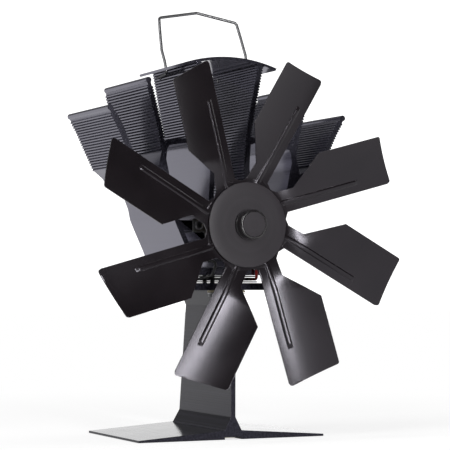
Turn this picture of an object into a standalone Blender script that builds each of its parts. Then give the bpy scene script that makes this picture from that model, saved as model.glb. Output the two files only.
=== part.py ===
"""Stove fan driven by its own heat: a black extruded stand, a thermoelectric module,
a ribbed heat sink with a domed top, a small motor, an eight-bladed rotor and a wire handle.

Metres, +Z up, +Y to the back. The blades face -Y.
"""
import math

import bmesh
import bpy
from mathutils import Vector

# Fits
fit_gap = 0.0003
cut_overrun = 0.002

# Stand: one extrusion, wings at the foot, a thin stem and a flange under the module
stand_height = 0.0838
wing_span = 0.110
wing_depth = 0.0720
wing_front = 0.0345
wing_root_thick = 0.0048
wing_tip_thick = 0.0012
stem_thick = 0.0026
stem_root_width = 0.0100
stem_root_rise = 0.0072
flange_width = 0.0500
flange_thick = 0.0038
flange_flare_width = 0.0110
flange_flare_drop = 0.0085
stem_back_low = 0.0348
stem_back_high = 0.0234

# Strip in the groove under the stand
groove_width = 0.0098
groove_depth = 0.0013
strip_thick = 0.0006
strip_side_gap = 0.0007
strip_length = 0.060
strip_rivet_radius = 0.0012
strip_rivet_length = 0.0028
strip_rivet_pitch = 0.010
strip_rivet_edge = 0.005

# Thermoelectric module
module_side = 0.040
module_plate_thick = 0.0007
module_core_thick = 0.0017
module_core_inset = 0.0022
module_setback = -0.0027

# Heat sink: one extrusion from the feet to the dome
sink_depth = 0.0600
sink_height = 0.1182
sink_reach = 0.0697
foot_thick = 0.0037
wall_thick = 0.0030
arm_core_thick = 0.0020
bead_radius = 0.00165
rib_height = 0.00075
rib_pitch = 0.00152
rib_start_gap = 0.0026
rib_flat_start_share = 0.30
rib_flat_end_share = 0.70
dome_thick = 0.0015
dome_half_width = 0.0283
dome_drop = 0.0048
side_web_thick = 0.0054
bottom_web_thick = 0.0060
axis_rise = 0.0265

# Clamp screws between stand and heat sink
clamp_screw_radius = 0.0013
clamp_head_radius = 0.0022
clamp_head_thick = 0.0016
clamp_pitch_x = 0.0168
clamp_pitch_y = 0.0460
clamp_setback = -0.0025
bush_wall = 0.0005
bush_collar_radius = 0.0027
bush_collar_thick = 0.0010
spring_washer_radius = 0.0025
spring_washer_thick = 0.0005

# Motor
motor_radius = 0.0138
motor_length = 0.0260
motor_wall = 0.0010
tube_wall = 0.0027
motor_cap_thick = 0.0015
motor_cap_spigot = 0.0023
shaft_radius = 0.0015
bearing_radius = 0.0030
bearing_length = 0.0036
magnet_thick = 0.0019
magnet_length = 0.0150
armature_gap = 0.0005
armature_length = 0.0120
armature_front_gap = 0.0056
pole_neck_width = 0.0026
pole_head_thick = 0.0018
pole_under_share = 0.58
winding_thick = 0.0017
winding_end = 0.0019
commutator_radius = 0.0036
commutator_length = 0.0030
brush_length = 0.0028
brush_width = 0.0020
terminal_width = 0.0024
terminal_thick = 0.0006
terminal_length = 0.0044
terminal_offset = 0.0080

# Motor plate and its screws
plate_thick = 0.0010
plate_radius = 0.0164
plate_ear_reach = 0.0226
plate_ear_height = 0.0072
plate_screw_offset = 0.0194
motor_screw_offset = 0.0080
small_screw_radius = 0.00125
small_screw_length = 0.0080
motor_screw_length = 0.0018
small_head_radius = 0.0023
small_head_thick = 0.0014

# Rotor
rotor_radius = 0.0896
blade_count = 8
blade_width = 0.0270
blade_edge_offset = 0.00045
blade_tip_slant = 0.0058
blade_tip_corner = 0.0024
blade_shoulder_radius = 0.0463
neck_width = 0.0119
neck_end_radius = 0.0309
neck_root_high = 0.0254
neck_root_low = 0.0216
notch_radius = 0.0236
notch_angle = math.radians(7.1)
sheet_thick = 0.0008
blade_pitch = math.radians(20.3)
blade_lean = 0.0036
blade_camber = 0.0012
twist_start = 0.0205
twist_end = 0.0400
rib_press = 0.0006
press_width = 0.0030
press_end_radius = 0.0675
press_offset = 0.0055
corner_column_share = 0.3
wide_column_share = 0.42
rotor_stand_off = 0.0202
rotor_start_angle = math.radians(105.4)

# Hub
disc_radius = 0.0226
disc_thick = 0.0008
disc_edge_drop = 0.0003
boss_radius = 0.0055
boss_length = 0.0100
spigot_radius = 0.0030
spigot_length = 0.0088
knob_radius = 0.0078
knob_length = 0.0070
knob_edge = 0.0006
knob_dish = 0.0003
grub_radius = 0.0014
disc_fade_share = 0.78
shaft_tip_share = 0.4
boss_edge_share = 0.1

# Wire handle
handle_wire_radius = 0.0008
handle_foot_half = 0.0252
handle_bow = 0.0006
handle_top_half = 0.0239
handle_height = 0.0300
handle_apex_rise = 0.0045
handle_lean = math.radians(23.2)
handle_hole_radius = 0.0012
handle_slot_width = 0.0024
handle_slot_length = 0.0040
handle_slot_y = -0.0008
handle_hook_y = 0.0200
handle_hook_drop = 0.0033
handle_bend = 0.0022
handle_low_share = 0.15
handle_bow_share = 0.36
handle_high_share = 0.72

# Leads
lead_radius = 0.0008
lead_start_half = 0.0170
lead_bend = 0.0024
lead_front_gap = 0.0022
lead_run_share = 0.83
lead_up_share = 0.88
lead_back_share = 0.8
lead_rise_share = 1.2
black_lead_up_share = 0.78
black_lead_low_share = 0.6

# Points of the heat sink's outline. The first share is of its reach; the second counts from its
# underside (0) to the motor tube's crown (1) and on to the dome's top (2)
low_arm_shares = ((1.000, 1.593), (0.930, 1.482), (0.852, 1.332), (0.775, 1.190))
low_arm_root_shares = ((0.722, 1.140), (0.700, 1.110))
mid_arm_shares = ((0.688, 1.801), (0.664, 1.713), (0.630, 1.598), (0.597, 1.482), (0.572, 1.377),
                  (0.560, 1.266))
top_arm_shares = ((0.272, 1.984), (0.221, 1.735), (0.188, 1.587), (0.162, 1.440), (0.144, 1.225),
                  (0.149, 1.105), (0.158, 0.942))
wall_shares = ((0.532, 0.977), (0.500, 0.852), (0.482, 0.715), (0.447, 0.587), (0.372, 0.330))
wall_inner_shares = ((0.532, 1.314), (0.540, 1.243), (0.524, 1.179), (0.503, 1.077), (0.482, 0.977))
wall_foot_share = 0.308
foot_reach_share = 0.412
band_top_shares = ((0.552, 1.373), (0.530, 1.380), (0.455, 1.391), (0.376, 1.399), (0.200, 1.419))
band_low_shares = ((0.515, 1.342), (0.480, 1.350), (0.370, 1.364), (0.215, 1.381))
valley_share = (0.612, 1.164)
mid_arm_rib_ends = (0.17, 0.93)
top_arm_inner_rib_end = 0.93
low_arm_inner_rib_end = 0.90

# Counts
round_sides = 32
small_sides = 12
hole_sides = 20

# Heights and places that follow
sink_bottom = stand_height + 4 * fit_gap + 2 * module_plate_thick + module_core_thick
axis_height = sink_bottom + axis_rise
sink_front = -sink_depth / 2
tube_bore = motor_radius + fit_gap
tube_radius = tube_bore + tube_wall
shaft_bore = shaft_radius + fit_gap
dome_radius = (dome_half_width ** 2 + dome_drop ** 2) / (2 * dome_drop)
plate_front = sink_front - fit_gap - plate_thick
sheet_front = sink_front - rotor_stand_off - sheet_thick / 2
sheet_back = sheet_front + sheet_thick
disc_back = sheet_front - rib_press - fit_gap
disc_front = disc_back - disc_thick
sheet_bore = spigot_radius + fit_gap


def clear_scene():
    for item in list(bpy.data.objects):
        bpy.data.objects.remove(item, do_unlink=True)


def surface(name, colour, roughness, metallic):
    material = bpy.data.materials.new(name)
    material.use_nodes = True
    shader = material.node_tree.nodes["Principled BSDF"]
    shader.inputs["Base Color"].default_value = (*colour, 1.0)
    shader.inputs["Roughness"].default_value = roughness
    shader.inputs["Metallic"].default_value = metallic
    material.diffuse_color = (*colour, 1.0)
    return material


def add_object(name, data, material, parent, place=(0, 0, 0), turn=0.0):
    """Place a piece; turn is about the fan's own axis, front to back."""
    if not data.materials:
        data.materials.append(material)
    item = bpy.data.objects.new(name, data)
    bpy.context.collection.objects.link(item)
    item.parent = parent
    item.location = place
    item.rotation_euler = (0, turn, 0)
    return item


def add_copies(first, places=(), turns=()):
    """More of a piece, sharing its mesh: one at each further place, or one at each further turn."""
    stem = first.name
    first.name = stem + "_1"
    spots = [(place, 0.0) for place in places] + [(first.location, turn) for turn in turns]
    for number, (place, turn) in enumerate(spots, start=2):
        add_object(stem + "_" + str(number), first.data, None, first.parent, place, turn)


def face_outward(bm):
    """Turn every closed body's faces outward, body by body."""
    bmesh.ops.recalc_face_normals(bm, faces=bm.faces)
    seen = set()
    for seed in list(bm.faces):
        if seed in seen:
            continue
        seen.add(seed)
        body, queue = [], [seed]
        while queue:
            face = queue.pop()
            body.append(face)
            for edge in face.edges:
                for other in edge.link_faces:
                    if other not in seen:
                        seen.add(other)
                        queue.append(other)
        volume = sum(face.calc_center_median().dot(face.normal) * face.calc_area() for face in body)
        if volume < 0:
            bmesh.ops.reverse_faces(bm, faces=body)


def finish_mesh(name, bm, material, parent, place=(0, 0, 0), smooth=False):
    face_outward(bm)
    mesh = bpy.data.meshes.new(name)
    bm.to_mesh(mesh)
    bm.free()
    if smooth:
        mesh.shade_smooth()
        mesh.set_sharp_from_angle(angle=math.radians(32))
    return add_object(name, mesh, material, parent, place)


def add_profile(bm, loops, start, end, axis="Y"):
    """Fill the loops (holes after the outline) and extrude them from start to end."""
    edges = []
    for loop in loops:
        if axis == "Y":
            verts = [bm.verts.new((a, start, b)) for a, b in loop]
        elif axis == "X":
            verts = [bm.verts.new((start, a, b)) for a, b in loop]
        else:
            verts = [bm.verts.new((a, b, start)) for a, b in loop]
        for index, vert in enumerate(verts):
            edges.append(bm.edges.new((vert, verts[(index + 1) % len(verts)])))
    filled = bmesh.ops.triangle_fill(bm, use_beauty=True, edges=edges)
    faces = [item for item in filled["geom"] if isinstance(item, bmesh.types.BMFace)]
    raised = bmesh.ops.extrude_face_region(bm, geom=faces)
    moved = [item for item in raised["geom"] if isinstance(item, bmesh.types.BMVert)]
    step = {"X": (end - start, 0, 0), "Y": (0, end - start, 0), "Z": (0, 0, end - start)}[axis]
    bmesh.ops.translate(bm, verts=moved, vec=step)


def profile_piece(name, loops, start, end, material, parent, place=(0, 0, 0), axis="Y", smooth=False):
    bm = bmesh.new()
    add_profile(bm, loops, start, end, axis)
    return finish_mesh(name, bm, material, parent, place, smooth)


def circle(radius, sides, centre=(0, 0), start=0.0):
    points = []
    for index in range(sides):
        angle = start + 2 * math.pi * index / sides
        points.append((centre[0] + radius * math.cos(angle), centre[1] + radius * math.sin(angle)))
    return points


def box_loop(half_a, half_b, centre=(0, 0)):
    a, b = centre
    return [(a - half_a, b - half_b), (a + half_a, b - half_b),
            (a + half_a, b + half_b), (a - half_a, b + half_b)]


def stadium(half_a, half_b, centre):
    """Slot with round ends, longer along its second direction."""
    straight = half_b - half_a
    points = []
    for end in (1, -1):
        for index in range(7):
            angle = math.pi * index / 6
            points.append((centre[0] + end * half_a * math.cos(angle),
                           centre[1] + end * (straight + half_a * math.sin(angle))))
    return points


def add_turned(bm, outline, sides, axis="Y", centre=(0, 0, 0), hollow=False):
    """Turn (radius, along) points about an axis; hollow joins the last ring to the first."""
    rings = []
    for radius, along in outline:
        ring = []
        for index in range(sides):
            angle = 2 * math.pi * index / sides
            a, b = radius * math.cos(angle), radius * math.sin(angle)
            place = {"X": (along, a, b), "Y": (a, along, b), "Z": (a, b, along)}[axis]
            ring.append(bm.verts.new(Vector(place) + Vector(centre)))
        rings.append(ring)
    pairs = list(zip(rings, rings[1:]))
    if hollow:
        pairs.append((rings[-1], rings[0]))
    else:
        bm.faces.new(rings[0])
        bm.faces.new(list(reversed(rings[-1])))
    for first, second in pairs:
        for index in range(sides):
            after = (index + 1) % sides
            bm.faces.new((first[index], second[index], second[after], first[after]))


def turned_piece(name, outline, sides, material, parent, place=(0, 0, 0), axis="Y", hollow=False):
    bm = bmesh.new()
    add_turned(bm, outline, sides, axis, hollow=hollow)
    return finish_mesh(name, bm, material, parent, place, smooth=True)


def cut(target, name, rods=(), prisms=()):
    """Take round rods (outline, sides, axis, centre) and prisms (loop, low, high, axis) out of a piece."""
    bm = bmesh.new()
    for outline, sides, axis, centre in rods:
        add_turned(bm, outline, sides, axis, centre)
    for loop, low, high, axis in prisms:
        add_profile(bm, [loop], low, high, axis)
    face_outward(bm)
    mesh = bpy.data.meshes.new(name)
    bm.to_mesh(mesh)
    bm.free()
    cutter = bpy.data.objects.new(name, mesh)
    bpy.context.collection.objects.link(cutter)
    cutter.parent = target.parent
    cutter.location = target.location
    cutter.display_type = "WIRE"
    cutter.hide_render = True
    modifier = target.modifiers.new(name, "BOOLEAN")
    modifier.operation = "DIFFERENCE"
    modifier.object = cutter


def rod(radius, start, end):
    return [(radius, start), (radius, end)]


def spline(points, steps):
    """Catmull-Rom curve through the points."""
    ends = [tuple(2 * a - b for a, b in zip(points[0], points[1]))]
    tail = [tuple(2 * a - b for a, b in zip(points[-1], points[-2]))]
    guide = [Vector(p) for p in ends + list(points) + tail]
    curve = []
    for index in range(1, len(guide) - 2):
        p0, p1, p2, p3 = guide[index - 1:index + 3]
        for step in range(steps):
            t = step / steps
            curve.append(0.5 * (2 * p1 + (p2 - p0) * t + (2 * p0 - 5 * p1 + 4 * p2 - p3) * t * t
                                + (3 * p1 - p0 - 3 * p2 + p3) * t * t * t))
    curve.append(guide[-2])
    return curve


class Line:
    """A flat curve that is read by the length run along it."""

    def __init__(self, points):
        self.points = spline(points, 12)
        self.runs = [0.0]
        for first, second in zip(self.points, self.points[1:]):
            self.runs.append(self.runs[-1] + (second - first).length)
        self.length = self.runs[-1]

    def place(self, run, offset):
        """Point at this run, moved sideways; a positive offset is to the left of the way along."""
        index = 0
        while index < len(self.runs) - 2 and self.runs[index + 1] < run:
            index += 1
        first, second = self.points[index], self.points[index + 1]
        way = second - first
        share = (run - self.runs[index]) / (self.runs[index + 1] - self.runs[index])
        at = first + way * share
        way.normalize()
        return (at[0] - way[1] * offset, at[1] + way[0] * offset)


def ribbed_face(line, side, start, end):
    """Points down one face of an arm, ribbed from start to end."""
    half = arm_core_thick / 2
    count = max(1, round((end - start) / rib_pitch))
    pitch = (end - start) / count
    points = [line.place(start, side * half)]
    for index in range(count):
        run = start + index * pitch
        points.append(line.place(run + rib_flat_start_share * pitch, side * (half + rib_height)))
        points.append(line.place(run + rib_flat_end_share * pitch, side * (half + rib_height)))
        points.append(line.place(run + pitch, side * half))
    return points


def bead(line, first_side):
    """Round bead at the start of an arm, from one face to the other."""
    centre = Vector(line.points[0])
    way = (line.points[1] - line.points[0]).normalized()
    opening = math.asin(min(0.95, arm_core_thick / 2 / bead_radius))
    heading = math.atan2(way[1], way[0])
    points = []
    steps = 10
    for index in range(steps + 1):
        turn = opening + (2 * math.pi - 2 * opening) * index / steps
        angle = heading + first_side * turn
        points.append((centre[0] + bead_radius * math.cos(angle), centre[1] + bead_radius * math.sin(angle)))
    return points


def sink_point(share):
    low = min(share[1], 1.0)
    high = share[1] - low
    crown = axis_rise + tube_radius
    return (-share[0] * sink_reach, sink_bottom + low * crown + high * (sink_height - crown))


def dome_z(x, below=0.0):
    """Height of the dome's top at x, or of its underside."""
    radius = dome_radius - below
    return sink_bottom + sink_height - dome_radius + math.sqrt(radius ** 2 - x ** 2)


def arm_lines():
    low = Line([sink_point(s) for s in low_arm_shares])
    mid = Line([sink_point(s) for s in mid_arm_shares])
    top = Line([sink_point(s) for s in top_arm_shares])
    return low, mid, top


def tube_arc(start, end, steps):
    """Points round the motor tube's outside between two angles."""
    points = []
    for index in range(steps + 1):
        angle = start + (end - start) * index / steps
        points.append((tube_radius * math.cos(angle), axis_height + tube_radius * math.sin(angle)))
    return points


def mirrored(points):
    return [(-x, z) for x, z in reversed(points)]


def sink_outline():
    """Left half of the outline, from the dome's crown round to the foot."""
    low, mid, top = arm_lines()
    steps = 8
    crown = [(-dome_half_width * i / steps, dome_z(dome_half_width * i / steps)) for i in range(steps + 1)]
    half = arm_core_thick / 2
    top_start = top.place(0.0, -half)
    tip_in = dome_half_width - dome_thick / 2
    under = [(-tip_in, dome_z(tip_in, dome_thick)),
             (-(tip_in - top_start[0]) / 2, dome_z((tip_in - top_start[0]) / 2, dome_thick)),
             (top_start[0] - rib_height, dome_z(top_start[0], dome_thick))]
    band_top = [sink_point(s) for s in reversed(band_top_shares)]
    top_end = band_run(top, band_top[0][1])
    outer_ribs = [p for p in ribbed_face(top, -1, rib_start_gap / 2, top_end - rib_pitch)]
    points = crown + under + outer_ribs + band_top
    mid_start = mid.length * mid_arm_rib_ends[0] / 2
    mid_inner_end = band_run(mid, band_top[-1][1]) - rib_pitch
    inner = ribbed_face(mid, 1, max(mid_start, rib_start_gap), mid_inner_end)
    points += list(reversed(inner)) + bead(mid, 1)
    points += ribbed_face(mid, -1, rib_start_gap, mid.length * mid_arm_rib_ends[1])
    points.append(sink_point(valley_share))
    low_inner = ribbed_face(low, 1, rib_start_gap, low.length * low_arm_inner_rib_end)
    points += list(reversed(low_inner)) + bead(low, 1)
    points += ribbed_face(low, -1, rib_start_gap, low.length - rib_pitch / 2)
    points += [sink_point(s) for s in low_arm_root_shares] + [sink_point(s) for s in wall_shares]
    foot = foot_reach_share * sink_reach
    points += [(-wall_foot_share * sink_reach, sink_bottom + foot_thick), (-foot, sink_bottom + foot_thick),
               (-foot, sink_bottom)]
    return points


def band_run(line, height):
    """Run at which a line falls to a height."""
    for run, point in zip(line.runs, line.points):
        if point[1] <= height:
            return run
    return line.length


def clear_of_dome(line, offset):
    """Run at which a face of a top arm has come out under the dome, so that its ribs can start."""
    run = rib_start_gap
    at = line.place(run, offset)
    while run < line.length / 2 and at[1] + fit_gap / 2 > dome_z(at[0], dome_thick):
        run += fit_gap / 2
        at = line.place(run, offset)
    return run


def channel_loop():
    """Space between the two top arms, under the dome and over the motor tube."""
    top = arm_lines()[2]
    half = arm_core_thick / 2
    inner = ribbed_face(top, 1, clear_of_dome(top, half), top.length * top_arm_inner_rib_end)
    corner = top.place(0.0, half)
    steps = 3
    roof = [(corner[0] * i / steps, dome_z(corner[0] * i / steps, dome_thick)) for i in range(1, steps + 1)]
    low = inner[-1]
    angle = math.acos(max(-0.95, min(0.95, low[0] / tube_radius)))
    floor = tube_arc(angle, math.pi / 2, 4)
    left = roof + inner + floor[:-1]
    right = mirrored(left)
    return [(0, dome_z(0, dome_thick))] + left + [floor[-1]] + right


def cavity_loops():
    """Hollows on the left between the motor tube and the outer wall, above and below the side web."""
    top = arm_lines()[2]
    half = arm_core_thick / 2
    web_top = axis_height + side_web_thick / 2
    web_low = axis_height - side_web_thick / 2
    band = [sink_point(s) for s in reversed(band_low_shares)]
    inner_wall = [sink_point(s) for s in wall_inner_shares]
    low_wall = [(x + wall_thick, z) for x, z in [sink_point(s) for s in wall_shares[1:]]]
    upper_wall = [p for p in low_wall if p[1] > web_top]
    web_reach = wall_at(low_wall, web_top)
    start = band_run(top, band[0][1])
    smooth = [top.place(start + (top.length - start) * i / 5, -half - rib_height) for i in range(6)]
    low = smooth[-1]
    meet = math.acos(max(-0.95, min(0.95, low[0] / tube_radius)))
    angle = math.pi - math.asin(side_web_thick / 2 / tube_radius)
    upper = band + inner_wall + upper_wall + [(web_reach, web_top)]
    upper += list(reversed(tube_arc(meet, angle, 6))) + list(reversed(smooth))
    web_bottom = wall_at(low_wall, web_low)
    floor_z = sink_bottom + foot_thick
    low_angle = math.pi + math.asin(side_web_thick / 2 / tube_radius)
    end_angle = 1.5 * math.pi - math.asin(bottom_web_thick / 2 / tube_radius)
    lower = tube_arc(low_angle, end_angle, 8) + [(-bottom_web_thick / 2, floor_z)]
    lower += [(-wall_foot_share * sink_reach + wall_thick, floor_z)]
    lower += [p for p in reversed(low_wall) if p[1] < web_low] + [(web_bottom, web_low)]
    return [upper, lower]


def wall_at(points, height):
    for first, second in zip(points, points[1:]):
        if second[1] <= height <= first[1]:
            share = (first[1] - height) / (first[1] - second[1])
            return first[0] + (second[0] - first[0]) * share
    return points[-1][0]


def clamp_places():
    places = []
    for side in (-1, 1):
        for row in (-1, 1):
            places.append((side * clamp_pitch_x / 2, clamp_setback + row * clamp_pitch_y / 2, 0))
    return places


def build_stand(parent, material):
    half_stem = stem_thick / 2
    plate_top = wing_root_thick
    flange_low = stand_height - flange_thick
    half_groove = groove_width / 2
    right = [(half_groove, 0), (wing_span / 2, 0), (wing_span / 2, wing_tip_thick),
             (stem_root_width / 2, plate_top), (half_stem, plate_top + stem_root_rise),
             (half_stem, flange_low - flange_flare_drop), (flange_flare_width / 2, flange_low),
             (flange_width / 2, flange_low), (flange_width / 2, stand_height)]
    outline = [(half_groove, groove_depth)] + right + mirrored(right) + [(-half_groove, groove_depth)]
    stand = profile_piece("stand", [outline], -wing_front, wing_depth - wing_front, material, parent)
    wedge = [(stem_back_low, plate_top), (wing_depth, plate_top), (wing_depth, stand_height + cut_overrun),
             (stem_back_high, stand_height + cut_overrun), (stem_back_high, stand_height)]
    reach = flange_width / 2 + cut_overrun
    cut(stand, "stem_back_cutter", prisms=[(wedge, -reach, reach, "X")])
    hole = clamp_screw_radius + bush_wall + 2 * fit_gap
    shapes = []
    for place in clamp_places():
        through = rod(hole, flange_low - cut_overrun, stand_height + cut_overrun)
        shapes.append((through, small_sides, "Z", place))
    for place in rivet_places():
        top = strip_top() + strip_rivet_length
        shapes.append((rod(strip_rivet_radius + fit_gap, -cut_overrun, top), small_sides, "Z", place))
    cut(stand, "stand_holes_cutter", shapes)
    return stand


def strip_top():
    return groove_depth - fit_gap


def rivet_places():
    back = wing_depth - wing_front - (wing_depth - strip_length) / 2
    return [(0, back - strip_rivet_edge - strip_rivet_pitch * i, 0) for i in range(2)]


def build_strip(parent, material, rivet_material):
    top = strip_top()
    middle = wing_depth / 2 - wing_front
    half = groove_width / 2 - strip_side_gap
    loops = [box_loop(half, strip_length / 2, (0, middle))]
    for place in rivet_places():
        loops.append(circle(strip_rivet_radius + fit_gap, small_sides, (place[0], place[1])))
    profile_piece("bimetal_strip", loops, top - strip_thick, top, material, parent, axis="Z")
    outline = rod(strip_rivet_radius, top - strip_thick, top + strip_rivet_length - fit_gap)
    places = rivet_places()
    rivet = turned_piece("strip_rivet", outline, small_sides, rivet_material, parent, places[0], axis="Z")
    add_copies(rivet, places[1:])


def build_module(parent, plate_material, core_material):
    low = stand_height + fit_gap
    middle = module_setback
    outline = [box_loop(module_side / 2, module_side / 2, (0, middle))]
    profile_piece("module_hot_plate", outline, low, low + module_plate_thick, plate_material, parent,
                  axis="Z")
    core_low = low + module_plate_thick + fit_gap
    half = module_side / 2 - module_core_inset
    core = [box_loop(half, half, (0, middle))]
    profile_piece("module_core", core, core_low, core_low + module_core_thick, core_material, parent,
                  axis="Z")
    high = core_low + module_core_thick + fit_gap
    profile_piece("module_cold_plate", outline, high, high + module_plate_thick, plate_material, parent,
                  axis="Z")
    return core_low + module_core_thick / 2


def build_sink(parent, material):
    left = sink_outline()
    outline = left + mirrored(left[1:])
    loops = [outline, circle(tube_bore, 48, (0, axis_height)), channel_loop()]
    for loop in cavity_loops():
        loops.append(loop)
        loops.append(mirrored(loop))
    sink = profile_piece("heat_sink", loops, sink_front, -sink_front, material, parent)
    shapes = []
    slots = []
    hook_z = hook_height()
    top = arm_lines()[2]
    dome_top = sink_bottom + sink_height
    for side in (-1, 1):
        slot = stadium(handle_slot_width / 2, handle_slot_length / 2,
                       (side * handle_foot_half, handle_slot_y))
        slots.append((slot, dome_top - 2 * dome_drop, dome_top + cut_overrun, "Z"))
        wall = abs(top.place(band_run(top, hook_z), 0)[0])
        reach = arm_core_thick / 2 + rib_height + cut_overrun / 2
        shapes.append((rod(handle_hole_radius, side * (wall - reach), side * (wall + reach)),
                       small_sides, "X", (0, handle_hook_y, hook_z)))
        screw_hole = rod(small_screw_radius + fit_gap, sink_front - cut_overrun,
                         sink_front + small_screw_length)
        shapes.append((screw_hole, small_sides, "Y", (side * plate_screw_offset, 0, axis_height)))
    for place in clamp_places():
        shapes.append((rod(clamp_screw_radius + fit_gap, sink_bottom - cut_overrun,
                           sink_bottom + foot_thick + cut_overrun / 4), small_sides, "Z", place))
    cut(sink, "sink_holes_cutter", shapes, slots)
    return sink


def build_clamps(parent, screw_material, bush_material, washer_material):
    flange_low = stand_height - flange_thick
    collar_high = flange_low - fit_gap
    collar_low = collar_high - bush_collar_thick
    inner = clamp_screw_radius + fit_gap
    outer = inner + bush_wall
    bush = [(inner, collar_low), (bush_collar_radius, collar_low), (bush_collar_radius, collar_high),
            (outer, collar_high), (outer, stand_height - fit_gap), (inner, stand_height - fit_gap)]
    places = clamp_places()
    first = turned_piece("insulating_bush", bush, small_sides, bush_material, parent, places[0], "Z",
                         hollow=True)
    add_copies(first, places[1:])
    washer_high = collar_low - fit_gap
    washer_low = washer_high - spring_washer_thick
    washer = [(inner, washer_low), (spring_washer_radius, washer_low), (spring_washer_radius, washer_high),
              (inner, washer_high)]
    first = turned_piece("spring_washer", washer, small_sides, washer_material, parent, places[0], "Z",
                         hollow=True)
    add_copies(first, places[1:])
    head_high = washer_low - fit_gap
    head_low = head_high - clamp_head_thick
    dome = clamp_head_thick / 3
    screw = [(clamp_head_radius - dome, head_low), (clamp_head_radius, head_low + dome),
             (clamp_head_radius, head_high), (clamp_screw_radius, head_high),
             (clamp_screw_radius, sink_bottom + foot_thick)]
    first = turned_piece("clamp_screw", screw, small_sides, screw_material, parent, places[0], "Z")
    add_copies(first, places[1:])


def build_motor(still, turning, steel, plastic, ferrite, bronze, copper, brass, carbon):
    front = sink_front
    back = front + motor_length
    inner = motor_radius - motor_wall
    bush_hole = bearing_radius + fit_gap
    can = [(bush_hole, front), (motor_radius, front), (motor_radius, back), (inner, back),
           (inner, front + motor_wall), (bush_hole, front + motor_wall)]
    can_piece = turned_piece("motor_can", can, 40, steel, still, hollow=True)
    shapes = []
    for side in (-1, 1):
        hole = rod(small_screw_radius + fit_gap, front - cut_overrun, front + motor_wall + cut_overrun / 2)
        shapes.append((hole, small_sides, "Y", (0, 0, side * motor_screw_offset)))
    cut(can_piece, "motor_can_cutter", shapes)
    cap_in = back - motor_cap_spigot
    cap_out = back + fit_gap
    cap_end = cap_out + motor_cap_thick
    cap = [(bush_hole, cap_in), (inner - fit_gap, cap_in), (inner - fit_gap, cap_out),
           (motor_radius, cap_out), (motor_radius, cap_end), (bush_hole, cap_end)]
    turned_piece("motor_end_cap", cap, 40, plastic, still, hollow=True)
    front_start = front - fit_gap - plate_thick
    front_end = front_start + bearing_length
    front_bush = [(shaft_bore, front_start), (bearing_radius, front_start), (bearing_radius, front_end),
                  (shaft_bore, front_end)]
    turned_piece("front_bearing", front_bush, hole_sides, bronze, still, hollow=True)
    rear_bush = [(shaft_bore, cap_end - bearing_length), (bearing_radius, cap_end - bearing_length),
                 (bearing_radius, cap_end), (shaft_bore, cap_end)]
    turned_piece("rear_bearing", rear_bush, hole_sides, bronze, still, hollow=True)

    magnet_outer = inner - fit_gap
    magnet_inner = magnet_outer - magnet_thick
    armature_front = front + armature_front_gap
    steps = 10
    spread = math.radians(62)
    angles = [spread * (2 * index / steps - 1) for index in range(steps + 1)]
    arc = [(magnet_outer * math.cos(angle), magnet_outer * math.sin(angle)) for angle in angles]
    arc += [(magnet_inner * math.cos(angle), magnet_inner * math.sin(angle)) for angle in reversed(angles)]
    magnet_start = armature_front - (magnet_length - armature_length) / 2
    magnet = profile_piece("motor_magnet", [arc], magnet_start, magnet_start + magnet_length, ferrite, still,
                           smooth=True)
    add_copies(magnet, turns=[math.pi])

    armature_radius = magnet_inner - armature_gap
    armature_back = armature_front + armature_length
    core_radius = armature_radius / 3
    head_low = armature_radius - pole_head_thick
    bm = bmesh.new()
    outline = []
    for pole in range(3):
        middle = math.radians(90 + 120 * pole)
        half_neck = pole_neck_width / 2
        spread = math.radians(48)
        root = math.sqrt(core_radius ** 2 - half_neck ** 2)
        neck_top = math.sqrt(head_low ** 2 - half_neck ** 2)
        under = [(head_low * math.cos(spread * part), head_low * math.sin(spread * part))
                 for part in (pole_under_share, 1.0)]
        turns = [spread * (i / 4 - 1) for i in range(9)]
        rim = [(armature_radius * math.cos(turn), armature_radius * math.sin(turn)) for turn in turns]
        flat = [(root, -half_neck), (neck_top, -half_neck)] + [(a, -b) for a, b in under] + rim
        flat += list(reversed(under)) + [(neck_top, half_neck), (root, half_neck)]
        for a, b in flat:
            outline.append((a * math.cos(middle) - b * math.sin(middle),
                            a * math.sin(middle) + b * math.cos(middle)))
    add_profile(bm, [outline, circle(shaft_bore, hole_sides)], armature_front, armature_back)
    finish_mesh("armature_core", bm, steel, turning)

    inside = pole_neck_width / 2 + fit_gap
    outside = inside + winding_thick
    ends = (armature_front - fit_gap, armature_back + fit_gap)
    loops = [[(-outside, ends[0] - winding_end), (outside, ends[0] - winding_end),
              (outside, ends[1] + winding_end), (-outside, ends[1] + winding_end)],
             [(-inside, ends[0]), (inside, ends[0]), (inside, ends[1]), (-inside, ends[1])]]
    under_head = math.sqrt(head_low ** 2 - outside ** 2) - fit_gap
    winding = profile_piece("armature_winding", loops, core_radius + 2 * fit_gap, under_head, copper, turning,
                            axis="Z")
    add_copies(winding, turns=[2 * math.pi / 3, 4 * math.pi / 3])

    commutator_start = cap_in - fit_gap - commutator_length
    commutator = [(shaft_bore, commutator_start), (commutator_radius, commutator_start),
                  (commutator_radius, commutator_start + commutator_length),
                  (shaft_bore, commutator_start + commutator_length)]
    turned_piece("commutator", commutator, hole_sides, brass, turning, hollow=True)

    brush_start = commutator_radius + fit_gap
    brush_loop = box_loop(brush_length / 2, brush_width / 2, (brush_start + brush_length / 2, 0))
    brush = profile_piece("motor_brush", [brush_loop], commutator_start + fit_gap, cap_in - fit_gap, carbon,
                          still)
    add_copies(brush, turns=[math.pi])

    start = cap_end + fit_gap
    tag = box_loop(terminal_thick / 2, terminal_width / 2, (terminal_offset, 0))
    terminal = profile_piece("motor_terminal", [tag], start, start + terminal_length, brass, still)
    add_copies(terminal, turns=[math.pi])
    return start + terminal_length


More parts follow.
